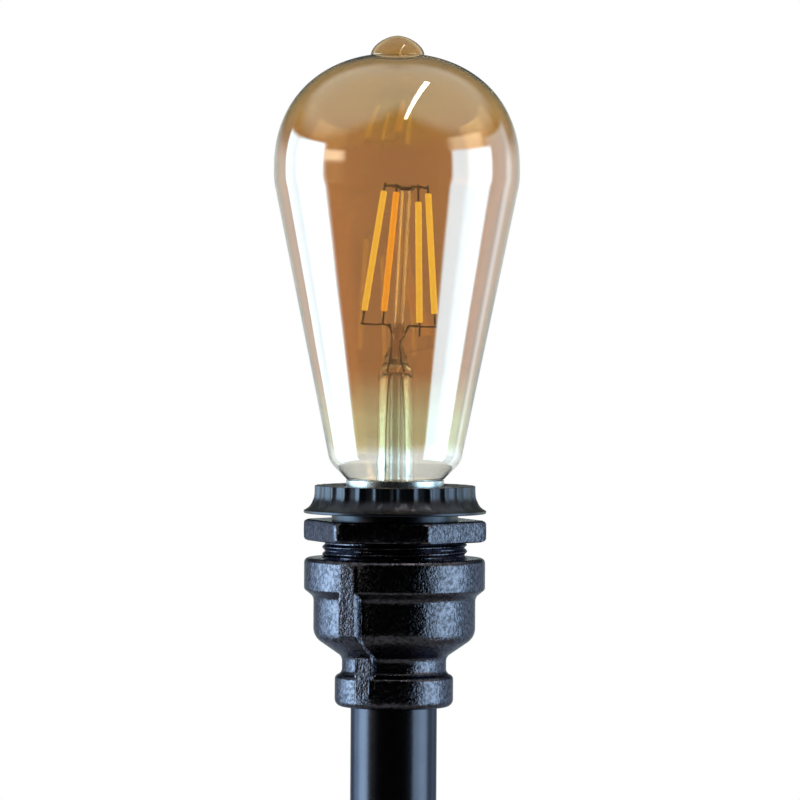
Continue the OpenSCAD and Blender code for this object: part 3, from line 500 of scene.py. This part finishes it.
def rolled_aluminium():
    """Thin aluminium sheet rolled into the cap's thread: bright, with faint rolling marks."""
    return grained("rolled_aluminium_sheet", "#c3c6c9", "#dfe1e3", 3.0, 0.3, 0.01, (0.2, 0.34), Metallic=1.0)


def lead_wire():
    """Drawn nickel-iron wire, dark, in soft random patches of a darker and a lighter tone."""
    return grained("nickel_iron_wire", "#4d463e", "#8b8377", 2.0, 0.3, 0.01, (0.35, 0.5), Metallic=1.0)


def phosphor(name, colour):
    """Phosphor in clear silicone over the filament's chips: waxy and a little uneven, with a faint painted
    glow that stands in for the light reaching it through the glass.
    """
    material, tree, place = shader(name)
    beads = add(tree, NOISE, {"Vector": place, "Scale": 1 / (1.1 * MM), "Detail": 2.0})
    pale = [min(1.0, c * 1.25 + 0.02) for c in colour[:3]] + [1.0]
    tint = add(tree, MIX, {0: beads, 6: colour, 7: pale}, 2, data_type="RGBA")
    lift = add(tree, BUMP, {"Height": beads, "Distance": 0.08 * MM})
    finish_with(tree, Base_Color=tint, Normal=lift, Roughness=0.4)
    # Painted light: a faint glow in the filament's own colour stands in for the light that reaches it through
    # the glass
    finish_with(tree, Emission_Color=colour, Emission_Strength=1.05)
    return material


def inner_finishes():
    """Finishes of the pieces inside, by the record's slot. A row has the name, the dark and light colour, the
    patch, grain and relief in millimetres, the range of roughness and the share of metal."""
    waxy = (6.0, 0.6, 0.02, (0.4, 0.55), 0.0)
    table = {
        # Bright yellow metal with a soft sheen
        "brass": ("bright_brass_strip", "#b98f3c", "#d8b45e", 3.0, 0.3, 0.01, (0.22, 0.36), 1.0),
        # Pale cool metal
        "steel": ("zinc_plated_steel", "#b4b8bd", "#d2d5d8", 2.0, 0.3, 0.01, (0.25, 0.4), 1.0),
        # Cream with a wet gloss
        "porcelain": ("glazed_porcelain", "#e4dfd3", "#f2efe7", 8.0, 1.5, 0.03, (0.1, 0.2), 0.0),
        # Waxy soft plastic, one colour for each wire
        "wire_brown": ("brown_wire_insulation", "#5d3818", "#714722", *waxy),
        "wire_blue": ("blue_wire_insulation", "#2a58a3", "#3a6cb8", *waxy),
        "wire_green": ("green_wire_insulation", "#4a9338", "#7fae36", *waxy),
        # Milky plastic, dull from the mould
        "nylon": ("natural_nylon", "#d3ccb9", "#e2dccb", 5.0, 0.6, 0.02, (0.4, 0.55), 0.0),
        # Black glass, poured and shiny
        "cap_black": ("black_cap_glass", "#0c0c0e", "#17171a", 4.0, 0.8, 0.02, (0.08, 0.18), 0.0),
        # Chalky and rough
        "cement": ("capping_cement", "#cfc4a4", "#dfd6bb", 2.0, 0.5, 0.08, (0.7, 0.9), 0.0),
        # Green lacquer over glass cloth
        "board": ("green_circuit_board", "#245a3c", "#31704d", 4.0, 0.5, 0.01, (0.3, 0.45), 0.0),
        # Dark moulded epoxy
        "driver_black": ("moulded_components", "#18191b", "#2a2c2f", 2.0, 0.4, 0.02, (0.3, 0.45), 0.0),
    }
    finishes = {slot: grained(*finish, Metallic=metal) for slot, (*finish, metal) in table.items()}
    return {**finishes, "holder_black": phenolic()}


# Pieces


class LAMP_OT_glass(bpy.types.Operator):
    """Blow the bulb's glass: neck, cone, dome and nub, with an even wall."""

    bl_idname = "lamp.glass"
    bl_label = "Bulb Glass"

    def execute(self, context):
        sizes = context.scene.lamp_sizes
        outer = self.outline(sizes, 0.0)
        inner = self.outline(sizes, sizes.glass_wall / MM)
        piece = turned("glass_blown", [outer + inner[::-1]], crease=60.0)
        dress(piece, amber_glass("amber_lustre_glass", 1.0), "bulb", "amber_glass", "bulb_glass")
        piece.data.materials.append(amber_glass("amber_glass_inside", 0.5))
        middle = Vector((0, 0, (SEAM + 60) * MM))
        for face in piece.data.polygons:
            face.material_index = int(face.normal.dot(face.center - middle) < 0)
        return {"FINISHED"}

    @staticmethod
    def outline(sizes, wall):
        """The outline from the neck's edge up to the tip, moved in by a wall."""
        neck_r, collar_r, widest = 11.5 - wall, 12.75, SEAM + 81.0
        foot = [(neck_r, SEAM - 1.2 + 0.4 * wall, 0.6)]
        if wall == 0:
            foot = [(neck_r, SEAM + 0.1, 0.4), (collar_r, SEAM + 0.1, 0.3)]
        shoulder = (17.1 - 0.92 * wall, SEAM + 4.6 + 0.48 * wall, 6.0 - wall)
        across, nub_r = BULB_R - wall, sizes.nub_radius / MM - wall
        top = [(across, widest - 3.3, 32.0 - wall), (across, widest)]
        side = rounded((neck_r, NECK_LOW), *foot, shoulder, *top, closed=False)
        nub_tall, tip = 4.5, BULB_TIP - wall
        rise = BULB_TIP - nub_tall - widest - wall
        power, dome_steps = 2 / sizes.dome_power, 40
        end = math.acos((nub_r / across) ** (1 / power))
        turns = [end * i / dome_steps for i in range(1, dome_steps + 1)]
        dome = [(across * math.cos(t) ** power, widest + rise * math.sin(t) ** power) for t in turns]
        edge, bulge, nub_steps = dome[-1][1], 1.17, 14
        turns = [TAU / 4 * i / nub_steps for i in range(1, nub_steps)]
        nub = [(nub_r * math.cos(t) ** bulge, edge + (tip - edge) * math.sin(t) ** bulge) for t in turns]
        return side + dome + nub + [(0.0, tip)]


def leaning():
    """The slight tilt of the rod and its filaments about the top of the pinch, for points in millimetres."""
    aside = Matrix.Translation((0.6, 0, 0))
    pivot = Matrix.Translation((0, 0, ROD_LOW))
    tilt = Matrix.Rotation(bpy.context.scene.lamp_sizes.lean, 4, "Y")
    return aside @ pivot @ tilt @ pivot.inverted()


def lean_over(*pieces):
    """Tilts finished meshes with the rod."""
    for piece in pieces:
        piece.data.transform(Matrix.Scale(MM, 4) @ leaning() @ Matrix.Scale(1 / MM, 4))


class LAMP_OT_stem(bpy.types.Operator):
    """Draw the glass stem with its flare, pinch and exhaust tube, and the rod on top of it."""

    bl_idname = "lamp.stem"
    bl_label = "Stem and Rod"

    def execute(self, context):
        material = clear_glass()
        dress(self.stem(), material, "bulb", "clear_glass", "stem_glass")
        rod = self.rod()
        lean_over(rod)
        dress(rod, material, "bulb", "clear_glass", "support_rod")
        return {"FINISHED"}

    @staticmethod
    def stem():
        """A flared tube that is pressed flat at its top, around a thin exhaust tube."""
        tube_r, flare_r, wall = 4.6, 10.5, 0.75
        bend_r, bend_z, shoulder = tube_r + 0.5, NECK_LOW + 4.0, SEAM + 29.7

        def oval(wide, thin):
            return lambda t: wide * thin / math.hypot(thin * math.cos(t), wide * math.sin(t))

        outer = rounded(
            (flare_r, NECK_LOW),
            (flare_r, NECK_LOW + 1.0, 0.4),
            (bend_r, bend_z, 2.0),
            (tube_r, shoulder - 3.0),
            closed=False,
        )
        # Half widths of each oval of the pinch, and its height from the shoulder
        ovals = (
            (4.45, 4.3, -1.6),
            (4.1, 3.6, -0.6),
            (3.4, 2.7, 0.2),
            (2.9, 1.9, 1.2),
            (3.1, 1.6, 2.4),
            (2.3, 1.5, 3.4),
            (2.0, 1.45, 4.6),
            (1.6, 1.4, 5.6),
            (1.5, 1.5, 6.3),
        )
        pinch = [(oval(wide, thin), shoulder + rise) for wide, thin, rise in ovals]
        inner_top = shoulder - 1.9
        inner = rounded(
            (0.0, inner_top),
            (tube_r - wall, inner_top, 2.4),
            (bend_r - wall, bend_z, 2.0),
            (flare_r - wall, NECK_LOW),
            closed=False,
        )
        tube = [*outer, *pinch, (0.0, ROD_LOW), *inner]
        bore_r, exhaust_r, exhaust_top = 1.1, 1.6, shoulder - 2.4
        exhaust = sleeve(bore_r, exhaust_r, NECK_LOW, exhaust_top)
        return turned("stem_drawn", [tube, exhaust], sides=96, crease=60.0)

    @staticmethod
    def rod():
        """A hollow rod with a bead at its foot."""
        bore_r, bead = ROD_R - 0.4, 1.6
        bore_low, bore_top = ROD_LOW + 2 * bead, ROD_TOP - 0.6
        outside = rounded(
            (0.0, ROD_LOW),
            (ROD_R, ROD_LOW, 0.4),
            (ROD_R + 0.35, ROD_LOW + bead, 0.9),
            (ROD_R, bore_low, 0.6),
            (ROD_R, ROD_TOP, 0.6),
            (0.0, ROD_TOP),
        )
        bore = sleeve(0.0, bore_r, bore_low, bore_top, 0.5)
        joined = bmesh.new()
        for outline in (outside, bore):
            part = turned("rod_wall", [outline], sides=64, crease=60.0)
            if outline is bore:
                part.data.flip_normals()
            joined.from_mesh(part.data)
            bpy.data.objects.remove(part)
        mesh = bpy.data.meshes.new("support_rod_drawn")
        joined.to_mesh(mesh)
        joined.free()
        return placed("support_rod_drawn", mesh, 60.0)


class LAMP_OT_filaments(bpy.types.Operator):
    """Hang the four filaments, and bend the wires that hold and feed them."""

    bl_idname = "lamp.filaments"
    bl_label = "Filaments and Wires"

    count = 4
    turn = 26.0
    strays = (0.0, -2.5, 0.0, 5.0)
    low_z, top_z = 43.6, 74.9
    low_r, top_r = 10.2, 6.4
    low_pin, top_pin = 3.6, 2.1
    drops = (0.0, 0.0, 0.0, 2.4)

    def spot(self, index, share):
        """A point on a filament's line: 0 is its lower end and 1 its upper end."""
        angle = math.radians(self.turn + self.strays[index]) + TAU * index / self.count
        reach = self.low_r + share * (self.top_r - self.low_r)
        height = SEAM + self.low_z + share * (self.top_z - self.low_z) - self.drops[index]
        return Vector((reach * math.cos(angle), reach * math.sin(angle), height))

    def execute(self, context):
        sizes, wire = context.scene.lamp_sizes, lead_wire()
        self.filaments(sizes, context.scene.lamp_colours, wire)
        self.star(sizes, wire)
        self.leads(sizes, wire)
        return {"FINISHED"}

    def filaments(self, sizes, colours, wire):
        """Four coated rods with a pin at each end."""
        thick, fine = sizes.filament_diameter / MM / 2, sizes.wire_diameter / MM / 2
        length = (self.spot(0, 1) - self.spot(0, 0)).length
        amber = phosphor("phosphor_silicone", list(colours.phosphor))
        # Painted shade: the darker, redder copy of the phosphor, for the back filament
        deep = phosphor("deep_phosphor_silicone", list(colours.shaded_phosphor))
        for index in range(self.count):
            name = f"filament_{index + 1}"
            spans = ((-self.low_pin, 0.0), (length, length + self.top_pin + self.drops[index]))
            pins = [sleeve(0.0, fine, *span) for span in spans]
            piece = turned(f"{name}_coated", [sleeve(0.0, thick, 0.0, length, 0.6)], sides=24, crease=60.0)
            ends = turned(f"{name}_pins", pins, sides=16)
            line = (self.spot(index, 1) - self.spot(index, 0)).normalized()
            upright = line.to_track_quat("Z", "Y").to_matrix().to_4x4()
            for part in (piece, ends):
                part.data.transform(Matrix.Translation(self.spot(index, 0) * MM) @ upright)
            lean_over(piece, ends)
            # The back filament, index 1, wears the darker copy of the phosphor as painted shade
            slot = "phosphor_deep" if index == 1 else "phosphor"
            dress(piece, deep if index == 1 else amber, "bulb", slot, name)
            dress(ends, wire, "bulb", "lead_wire")

    def star(self, sizes, wire):
        """A collar at the top of the rod, with an arm to each filament's upper pin."""
        ring = sleeve(ROD_R + 0.05, ROD_R + 0.5, STAR_LOW, STAR_LOW + 1.0, 0.2)
        collar = turned("star_collar", [ring], sides=48)
        middle, beside = (STAR_LOW + STAR_TOP) / 2, sizes.wire_diameter / MM
        reach = self.spot(0, 1.05).xy.length + beside
        arm = [(ROD_R + 0.3, 0, STAR_LOW + 0.6), (reach / 2, 0, middle + 0.3), (reach, 0, middle)]
        arms = bent_wires("star_arms", [arm], sizes.wire_diameter, wire)
        turn = math.radians(self.turn) + math.atan2(beside, reach)
        arms = ruled(arms, spread_tree(), wire, Count=self.count, Turn=turn)
        lean_over(collar, arms)
        dress(collar, wire, "bulb", "lead_wire", "top_support")
        dress(arms, wire, "bulb", "lead_wire")

    def leads(self, sizes, wire):
        """Two leads that rise through the stem and spread from the pinch to two filaments each."""
        paths, level, tilt = [], 40.2, leaning()
        column = [(2.6, LEADS_LOW), (2.2, SEAM + 20), (1.2, SEAM + 32), (1.0, ROD_LOW)]
        for side, ends in ((1, (0, 3)), (-1, (2, 1))):
            rise = [Vector((side * x, 0, z)) for x, z in column]
            for index in ends:
                share = (level - self.low_z + self.drops[index]) / (self.top_z - self.low_z)
                end = self.spot(index, share)
                across = Vector((end.x, end.y, 0)).normalized()
                hip = Vector((side * (ROD_R + 0.45), 0.2 * across.y, end.z - 1.6))
                knee = hip + (end - hip) * 0.12 + Vector((0, 0, 1.2))
                bend = [tilt @ point for point in (hip, knee, knee.lerp(end, 0.5), end + across * 0.5)]
                paths.append((rise if index == ends[0] else []) + bend)
        leads = bent_wires("leads_bent", paths, 0.8 * sizes.wire_diameter, wire)
        dress(leads, wire, "bulb", "lead_wire", "lead_wires")


class LAMP_OT_cap(bpy.types.Operator):
    """Roll the bulb's screw cap from sheet, with its collar and thread."""

    bl_idname = "lamp.cap"
    bl_label = "Screw Cap"

    def execute(self, context):
        depth, collar_r, bore_r = 1.05, 12.75, 11.75
        root_r, collar_low, pitch = CAP_R - depth, SEAM - 2.5, context.scene.lamp_sizes.cap_pitch
        outline = rounded(
            (bore_r, CAP_LOW),
            (root_r, CAP_LOW, 0.2),
            (root_r, collar_low - 0.8, 0.5),
            (collar_r, collar_low, 0.4),
            (collar_r, SEAM, 0.35),
            (bore_r, SEAM),
        )
        blank = turned("cap_rolled", [graded(outline, 0.25)])
        material = rolled_aluminium()
        span = {"Low": (CAP_LOW + 0.1) * MM, "High": (collar_low - 0.2) * MM, "Fade": 1.5 * MM}
        thread = {"Ribs": 1, "Pitch": pitch, "Depth": depth * MM, "Sharpness": 1.0}
        cap = ruled(blank, relief_tree(), material, Core=(bore_r + 0.15) * MM, **span, **thread)
        dress(cap, material, "bulb", "cap_metal", "cap_shell")
        return {"FINISHED"}


class LAMP_OT_ring(bpy.types.Operator):
    """Mould the shade ring: a flared foot and a crown of grip flutes."""

    bl_idname = "lamp.ring"
    bl_label = "Shade Ring"

    def execute(self, context):
        count, depth = context.scene.lamp_sizes.flutes, context.scene.lamp_sizes.flute_depth
        bore_r, valley_r, foot_top, rows = 16.6, 20.95 - depth / MM, RING_LOW + 0.7, 24
        flare, tall = RING_FOOT_R - valley_r, RING_TOP - foot_top
        wall = [(valley_r + flare * (1 - i / rows) ** 4, foot_top + tall * i / rows) for i in range(rows)]
        foot = ((bore_r, RING_LOW), (RING_FOOT_R, RING_LOW, 0.3))
        outline = rounded(*foot, *wall, (valley_r, RING_TOP, 0.5), (bore_r, RING_TOP, 0.3))
        blank = turned("ring_moulded", [graded(outline, 0.3)], sides=count * 16)
        material = phenolic()
        span = {"Low": foot_top * MM, "High": (RING_TOP + 9.0) * MM, "Fade": 2.6 * MM}
        flutes = {"Ribs": count, "Pitch": 0.0, "Depth": depth, "Sharpness": 2.4}
        ring = ruled(blank, relief_tree(), material, 40.0, Core=(valley_r - 0.6) * MM, **span, **flutes)
        dress(ring, material, "ring", "ring_black", "shade_ring")
        return {"FINISHED"}


class LAMP_OT_holder(bpy.types.Operator):
    """Mould the lamp holder's barrel."""

    bl_idname = "lamp.holder"
    bl_label = "Holder Barrel"

    def execute(self, context):
        bore_r, lip_r, lip_low = 14.05, 13.6, RING_TOP - 1.2
        outline = rounded(
            (bore_r, BARREL_LOW),
            (BARREL_R, BARREL_LOW, 0.5),
            (BARREL_R, RING_TOP, 0.4),
            (lip_r, RING_TOP, 0.35),
            (lip_r, lip_low),
            (bore_r, lip_low),
        )
        dress(turned("barrel_moulded", [outline]), phenolic(), "fitting", "holder_black", "holder_barrel")
        return {"FINISHED"}


class LAMP_OT_fittings(bpy.types.Operator):
    """Cast the hexagon bush, the reducer and the flange, and draw the pipe."""

    bl_idname = "lamp.fittings"
    bl_label = "Pipe and Fittings"

    socket_r = 11.3

    def execute(self, context):
        iron = cast_iron_paint()
        bush = self.bush(context.scene.lamp_sizes, iron)
        dress(bush, iron, "fitting", "cast_iron_black", "hex_bush")
        dress(self.reducer(), iron, "fitting", "cast_iron_black", "reducer")
        dress(self.flange(iron), iron, "fitting", "cast_iron_black", "flange", "flange_hub")
        pipe = sleeve(PIPE_R - 2.4, PIPE_R, PIPE_LOW, PIPE_TOP, 0.4)
        dress(turned("pipe_drawn", [pipe]), pipe_paint(), "fitting", "pipe_black", "pipe")
        return {"FINISHED"}

    @staticmethod
    def bush(sizes, iron):
        """The hexagon's flats meet in corners that were turned off a little, above a climbing thread."""
        bore_r, root_r, depth, rows = 16.55, 18.2, 0.7, 70
        hex_low, flat_r, turn = HEX_TOP - 5.6, 21.1, math.radians(-9)
        corner_r = flat_r / math.cos(TAU / 12)

        def hexagon(cut, inset):
            def radius(angle):
                swing = (angle - turn) % (TAU / 6) - TAU / 12
                return min((flat_r - inset) / math.cos(swing), corner_r - cut)

            return radius

        # Cut at the corners, inset of the flats, and height in from the hexagon's end
        chamfer = ((1.5, 0.55, 0.0), (0.75, 0.15, 0.3), (0.35, 0.0, 0.8))
        lower = [(hexagon(cut, inset), hex_low + rise) for cut, inset, rise in chamfer]
        upper = [(hexagon(cut, inset), HEX_TOP - rise) for cut, inset, rise in reversed(chamfer)]
        middle = (hexagon(0.3, 0.0), (hex_low + HEX_TOP) / 2)
        wall = [(root_r, BUSH_LOW + (hex_low - BUSH_LOW) * i / rows) for i in range(rows + 1)]
        outline = [(bore_r, BUSH_LOW), *wall, *lower, middle, *upper, (bore_r, HEX_TOP)]
        blank = turned("bush_cast", [outline], sides=216)
        span = {"Low": (BUSH_LOW + 0.1) * MM, "High": (hex_low - 0.05) * MM, "Fade": 0.9 * MM}
        thread = {"Ribs": 1, "Pitch": sizes.bush_pitch, "Depth": depth * MM, "Sharpness": 0.8}
        return ruled(blank, relief_tree(), iron, 28.0, Core=(bore_r + 0.3) * MM, **span, **thread)

    def reducer(self):
        """Two bands with a neck, a cone and a body between them, and two ribs that pass over them all."""
        ledge, seat = PIPE_TOP + 4.5, BUSH_LOW - 0.3
        small_r, neck_r, wire_r = 15.45, 13.6, 10.0
        cavity_r, body_r, bush_r = 17.2, 21.1, 18.95
        band_top, shoulder, cone_top = REDUCER_LOW + 7.9, REDUCER_TOP - 8.2, ledge + 0.7
        outline = rounded(
            (self.socket_r, REDUCER_LOW),
            (small_r, REDUCER_LOW, 2.2),
            (small_r, band_top, 1.3),
            (neck_r, band_top + 1.0, 2.0),
            (neck_r, cone_top - 5.2, 2.2),
            (body_r, cone_top, 4.4),
            (body_r, shoulder - 2.0, 2.2),
            (BIG_BAND_R, shoulder, 1.0),
            (BIG_BAND_R, REDUCER_TOP, 1.3),
            (bush_r, REDUCER_TOP),
            (bush_r, seat),
            (cavity_r, seat),
            (cavity_r, ledge),
            (wire_r, ledge),
            (wire_r, PIPE_TOP),
            (self.socket_r, PIPE_TOP),
        )
        rib_half, rib_edge, rib_rise, rib_end, rib_turn = 2.1, 0.7, 0.25, 0.6, math.radians(239)
        rib_low, rib_high = REDUCER_LOW + 2.2, REDUCER_TOP - 1.3
        bend, knee = ledge - 4.1, ledge + 1.9

        def ribbed(radius, height):
            """The radius with the ribs on it, where their face stands out of the casting's outer wall."""
            climb = min(1.0, max(0.0, (height - bend) / (knee - bend)))
            ends = min(1.0, max(0.0, min(height - rib_low, rib_high - height) / rib_end))
            face = small_r + rib_rise + (BIG_BAND_R - small_r) * climb
            inside = radius <= self.socket_r or (radius <= bush_r and height >= ledge)
            if inside or face <= radius or ends <= 0:
                return radius

            def around(angle):
                outside = (radius * abs(math.sin(angle - rib_turn)) - rib_half) / rib_edge
                if outside >= 1:
                    return radius
                rise = face / abs(math.cos(angle - rib_turn)) - radius
                return radius + rise * ends * 0.5 * (1 + math.cos(math.pi * max(0.0, outside)))

            return around

        outline = [(ribbed(radius, height), height) for radius, height in graded(outline, 0.8)]
        return turned("reducer_cast", [outline], sides=480)

    def flange(self, iron):
        """A round plate with screw holes, and the hub that the pipe screws into."""
        wire_r, hub_r = 8.0, 15.5
        plate = rounded(
            (wire_r, 0.0),
            (PLATE_R, 0.0, 0.4),
            (PLATE_R, PLATE_TOP, 1.3),
            (hub_r + 1.0, PLATE_TOP, 2.4),
            (hub_r, HUB_TOP, 1.3),
            (self.socket_r, HUB_TOP),
            (self.socket_r, PLATE_TOP),
            (wire_r, PLATE_TOP),
        )
        piece = turned("flange_cast", [plate])
        hole_r, circle_r, holes, past = 3.25, 30.0, 4, 2.0
        drill = turned("drill", [sleeve(0.0, hole_r, -past, PLATE_TOP + past)], sides=48)
        drill.data.transform(Matrix.Translation((circle_r * MM, 0, 0)))
        drills = ruled(drill, spread_tree(), iron, Count=holes, Turn=TAU / 8)
        cut = piece.modifiers.new("holes", "BOOLEAN")
        cut.object, cut.operation, cut.solver = drills, "DIFFERENCE", "EXACT"
        piece = evaluated(piece)
        bpy.data.objects.remove(drills)
        return piece


class LAMP_OT_inside(bpy.types.Operator):
    """Give each piece inside its finish, on the CAD solid's own mesh."""

    bl_idname = "lamp.inside"
    bl_label = "Inner Pieces"

    def execute(self, context):
        finishes = inner_finishes()
        for part in frame["record"]["subparts"]:
            node = frame["nodes"][part["node"]]
            if node.hide_render:
                continue
            node.data.materials.clear()
            node.data.materials.append(finishes[part["material_slot"]])
        return {"FINISHED"}


def studio_panels(studio):
    """Soft panels beside the lamp: azimuth from the camera to the left, half width and softness of the edge
    in degrees, lower and upper end as sines of the elevation, radiance and colour."""
    cool, warm = list(studio.side_light), list(studio.warm_light)
    return (
        (101.0, 27.3, 4.0, -0.55, 0.26, 3.9, cool),
        (90.0, 11.0, 22.0, -0.55, 0.26, 4.9, cool),
        (-77.0, 23.5, 5.0, -0.55, 0.2, 4.2, cool),
        (-84.0, 8.0, 16.0, -0.55, 0.2, 1.6, cool),
        (-115.0, 19.0, 12.0, -0.55, 0.3, 1.0, cool),
        (62.0, 7.0, 16.0, 0.07, 0.19, 2.6, warm),
        (-72.0, 18.0, 14.0, 0.2, 0.38, 1.6, warm),
    )


class LAMP_OT_stage(bpy.types.Operator):
    """Set up the camera, the pale floor, the backdrop and the soft lights."""

    bl_idname = "lamp.stage"
    bl_label = "Studio"

    picture_px = 800
    sensor_mm = 36.0

    def execute(self, context):
        studio = context.scene.lamp_studio
        context.scene.view_settings.view_transform = "Standard"
        self.camera(context, studio)
        self.floor(studio)
        self.backdrop(context, studio)
        self.tube()
        return {"FINISHED"}

    def camera(self, context, studio):
        """A long lens a little above the bulb's middle, with the photo's scale at the lamp's axis."""
        focal_px = studio.pixels_per_mm * studio.camera_distance / MM
        lens = bpy.data.cameras.new("camera")
        lens.sensor_width = self.sensor_mm
        lens.lens = focal_px * self.sensor_mm / self.picture_px
        camera = linked("camera", lens)
        camera.location = (studio.aim_side, -studio.camera_distance, studio.camera_height)
        aim = Vector((studio.aim_side, 0, studio.aim_height)) - camera.location
        upright = aim.to_track_quat("-Z", "Y").to_matrix()
        camera.rotation_euler = (upright @ Matrix.Rotation(studio.roll, 3, "Z")).to_euler()
        context.scene.camera = camera

    @staticmethod
    def floor(studio):
        """A pale floor that keeps the shadow near the lamp and runs out into the white backdrop."""
        radius, least_white = 0.45, 0.45
        work = bmesh.new()
        bmesh.ops.create_circle(work, cap_ends=True, segments=96, radius=radius)
        floor = finished("floor", work)
        material, tree, place = shader("pale_studio_floor")
        reach = add(tree, VECTOR_MATH, (place,), "Value", operation="LENGTH")
        away = add(tree, RANGE, (reach, 0.3 * radius, 0.97 * radius), **SMOOTH)
        share = add(tree, MATH, (away, least_white), operation="MAXIMUM")
        path = add(tree, "ShaderNodeLightPath", out=None)
        seen = add(tree, MATH, (path["Is Camera Ray"], path["Is Transmission Ray"]), operation="MAXIMUM")
        white = add(tree, "ShaderNodeEmission", {"Color": (1, 1, 1, 1), "Strength": 1.0})
        clear = add(tree, "ShaderNodeBsdfTransparent")
        ends = add(tree, "ShaderNodeMixShader", (seen, clear, white))
        plain = tree.nodes["Principled BSDF"].outputs[0]
        mixed = add(tree, "ShaderNodeMixShader", (share, plain, ends))
        tree.links.new(mixed, tree.nodes["Material Output"].inputs["Surface"])
        finish_with(tree, Base_Color=list(studio.floor_colour), Roughness=0.9)
        floor.data.materials.append(material)

    @staticmethod
    def backdrop(context, studio):
        """White behind the lamp for the eye and through its glass. Mirror images show a dim room that is
        lighter behind, with tall soft panels on either side."""
        world = bpy.data.worlds.new("studio")
        world.use_nodes = True
        context.scene.world = world
        tree = world.node_tree
        path = add(tree, "ShaderNodeLightPath", out=None)
        spot = add(tree, SPLIT, (add(tree, "ShaderNodeTexCoord", out="Generated"),), None)
        seen = add(tree, MATH, (path["Is Camera Ray"], path["Is Transmission Ray"]), operation="MAXIMUM")

        begins = add(tree, RANGE, (spot["Y"], 0.5, 0.64, 0.01, 1.0), **SMOOTH)
        dims = add(tree, RANGE, (spot["Y"], 0.68, 0.9, 1.0, 0.64), **SMOOTH)
        wall = add(tree, MATH, (begins, dims), operation="MULTIPLY")
        above = add(tree, RANGE, (spot["Z"], 0.02, 0.2, 1.0, 0.15), **SMOOTH)
        aside = add(tree, MATH, (spot["X"],), operation="ABSOLUTE")
        overhead = add(tree, MATH, (aside, 0.5, spot["Z"]), operation="MULTIPLY_ADD")
        ceiling = add(tree, RANGE, (overhead, 0.72, 0.95, 0.0, 0.8), **SMOOTH)
        room = add(tree, MATH, (wall, above, ceiling), operation="MULTIPLY_ADD")
        level = add(tree, MIX, {0: seen, 2: room, 3: 1.0})
        tint = add(tree, MIX, {0: seen, 6: srgb("#f0fbf8"), 7: (1, 1, 1, 1)}, 2, data_type="RGBA")
        background = tree.nodes["Background"]
        feed(tree, background.inputs["Color"], tint)
        feed(tree, background.inputs["Strength"], level)

        flat = add(tree, COMBINE, (spot["X"], spot["Y"]))
        heading = add(tree, VECTOR_MATH, (flat,), operation="NORMALIZE")
        bounced = add(tree, MATH, (path["Glossy Depth"], path["Diffuse Depth"]), operation="ADD")
        through = add(tree, MATH, (path["Is Transmission Ray"], bounced), operation="GREATER_THAN")
        hidden = add(tree, MATH, (path["Is Camera Ray"], through), operation="MAXIMUM")
        shown = add(tree, MATH, (1.0, hidden), operation="SUBTRACT")
        total, blur = background.outputs[0], 0.03
        for azimuth, half_width, softness, low_end, high_end, radiance, colour in studio_panels(studio):
            turn = math.radians(azimuth)
            middle = (-math.sin(turn), -math.cos(turn), 0)
            facing = add(tree, VECTOR_MATH, (heading, middle), "Value", operation="DOT_PRODUCT")
            edges = [math.cos(math.radians(half_width + side * softness)) for side in (0.5, -0.5)]
            fades = (
                (facing, *edges, 0.0, radiance),
                (spot["Z"], high_end - blur, high_end + blur, 1.0, 0.0),
                (spot["Z"], low_end - blur, low_end + blur, 0.0, 1.0),
            )
            panel = shown
            for fade in fades:
                panel = add(tree, MATH, (panel, add(tree, RANGE, fade, **SMOOTH)), operation="MULTIPLY")
            lit = add(tree, "ShaderNodeBackground", {"Color": colour, "Strength": panel})
            total = add(tree, "ShaderNodeAddShader", (total, lit))
        tree.links.new(total, tree.nodes["World Output"].inputs["Surface"])

    @staticmethod
    def tube():
        """One narrow warm tube overhead, out of the camera's sight."""
        width, length, radiance, warm = 0.05, 1.0, 9.0, (1.0, 0.97, 0.84)
        lamp = bpy.data.lights.new("ceiling_tube", "AREA")
        lamp.shape = "RECTANGLE"
        lamp.size, lamp.size_y = width, length
        lamp.energy = 4 * radiance * width * length
        lamp.color = warm
        box = linked("ceiling_tube", lamp)
        box.location, box.rotation_euler = (0.2, -0.36, 1.1), (0, 0, math.radians(-6))
        box.visible_camera = False


class LAMP_PT_panel(bpy.types.Panel):
    """Lists the lamp's sizes, colours and building steps."""

    bl_idname = "LAMP_PT_panel"
    bl_label = "Pipe Lamp"
    bl_space_type = "VIEW_3D"
    bl_region_type = "UI"
    bl_category = "Pipe Lamp"

    def draw(self, context):
        for group in (context.scene.lamp_sizes, context.scene.lamp_colours, context.scene.lamp_studio):
            box = self.layout.box()
            for key in group.bl_rna.properties.keys():
                if key not in ("rna_type", "name"):
                    box.prop(group, key)
        for step in STEPS:
            self.layout.operator(step.bl_idname)


STEPS = (
    LAMP_OT_glass,
    LAMP_OT_stem,
    LAMP_OT_filaments,
    LAMP_OT_cap,
    LAMP_OT_ring,
    LAMP_OT_holder,
    LAMP_OT_fittings,
    LAMP_OT_inside,
    LAMP_OT_stage,
)
GROUPS = {"lamp_sizes": LampSizes, "lamp_colours": LampColours, "lamp_studio": LampStudio}


def register():
    for item in (*GROUPS.values(), *STEPS, LAMP_PT_panel):
        bpy.utils.register_class(item)
    for key, group in GROUPS.items():
        setattr(bpy.types.Scene, key, PointerProperty(type=group))


def unregister():
    for key in GROUPS:
        delattr(bpy.types.Scene, key)
    for item in (LAMP_PT_panel, *reversed(STEPS), *GROUPS.values()):
        bpy.utils.unregister_class(item)


def main():
    register()
    for step in STEPS:
        area, action = step.bl_idname.split(".")
        getattr(getattr(bpy.ops, area), action)()


if __name__ == "__main__":
    main()
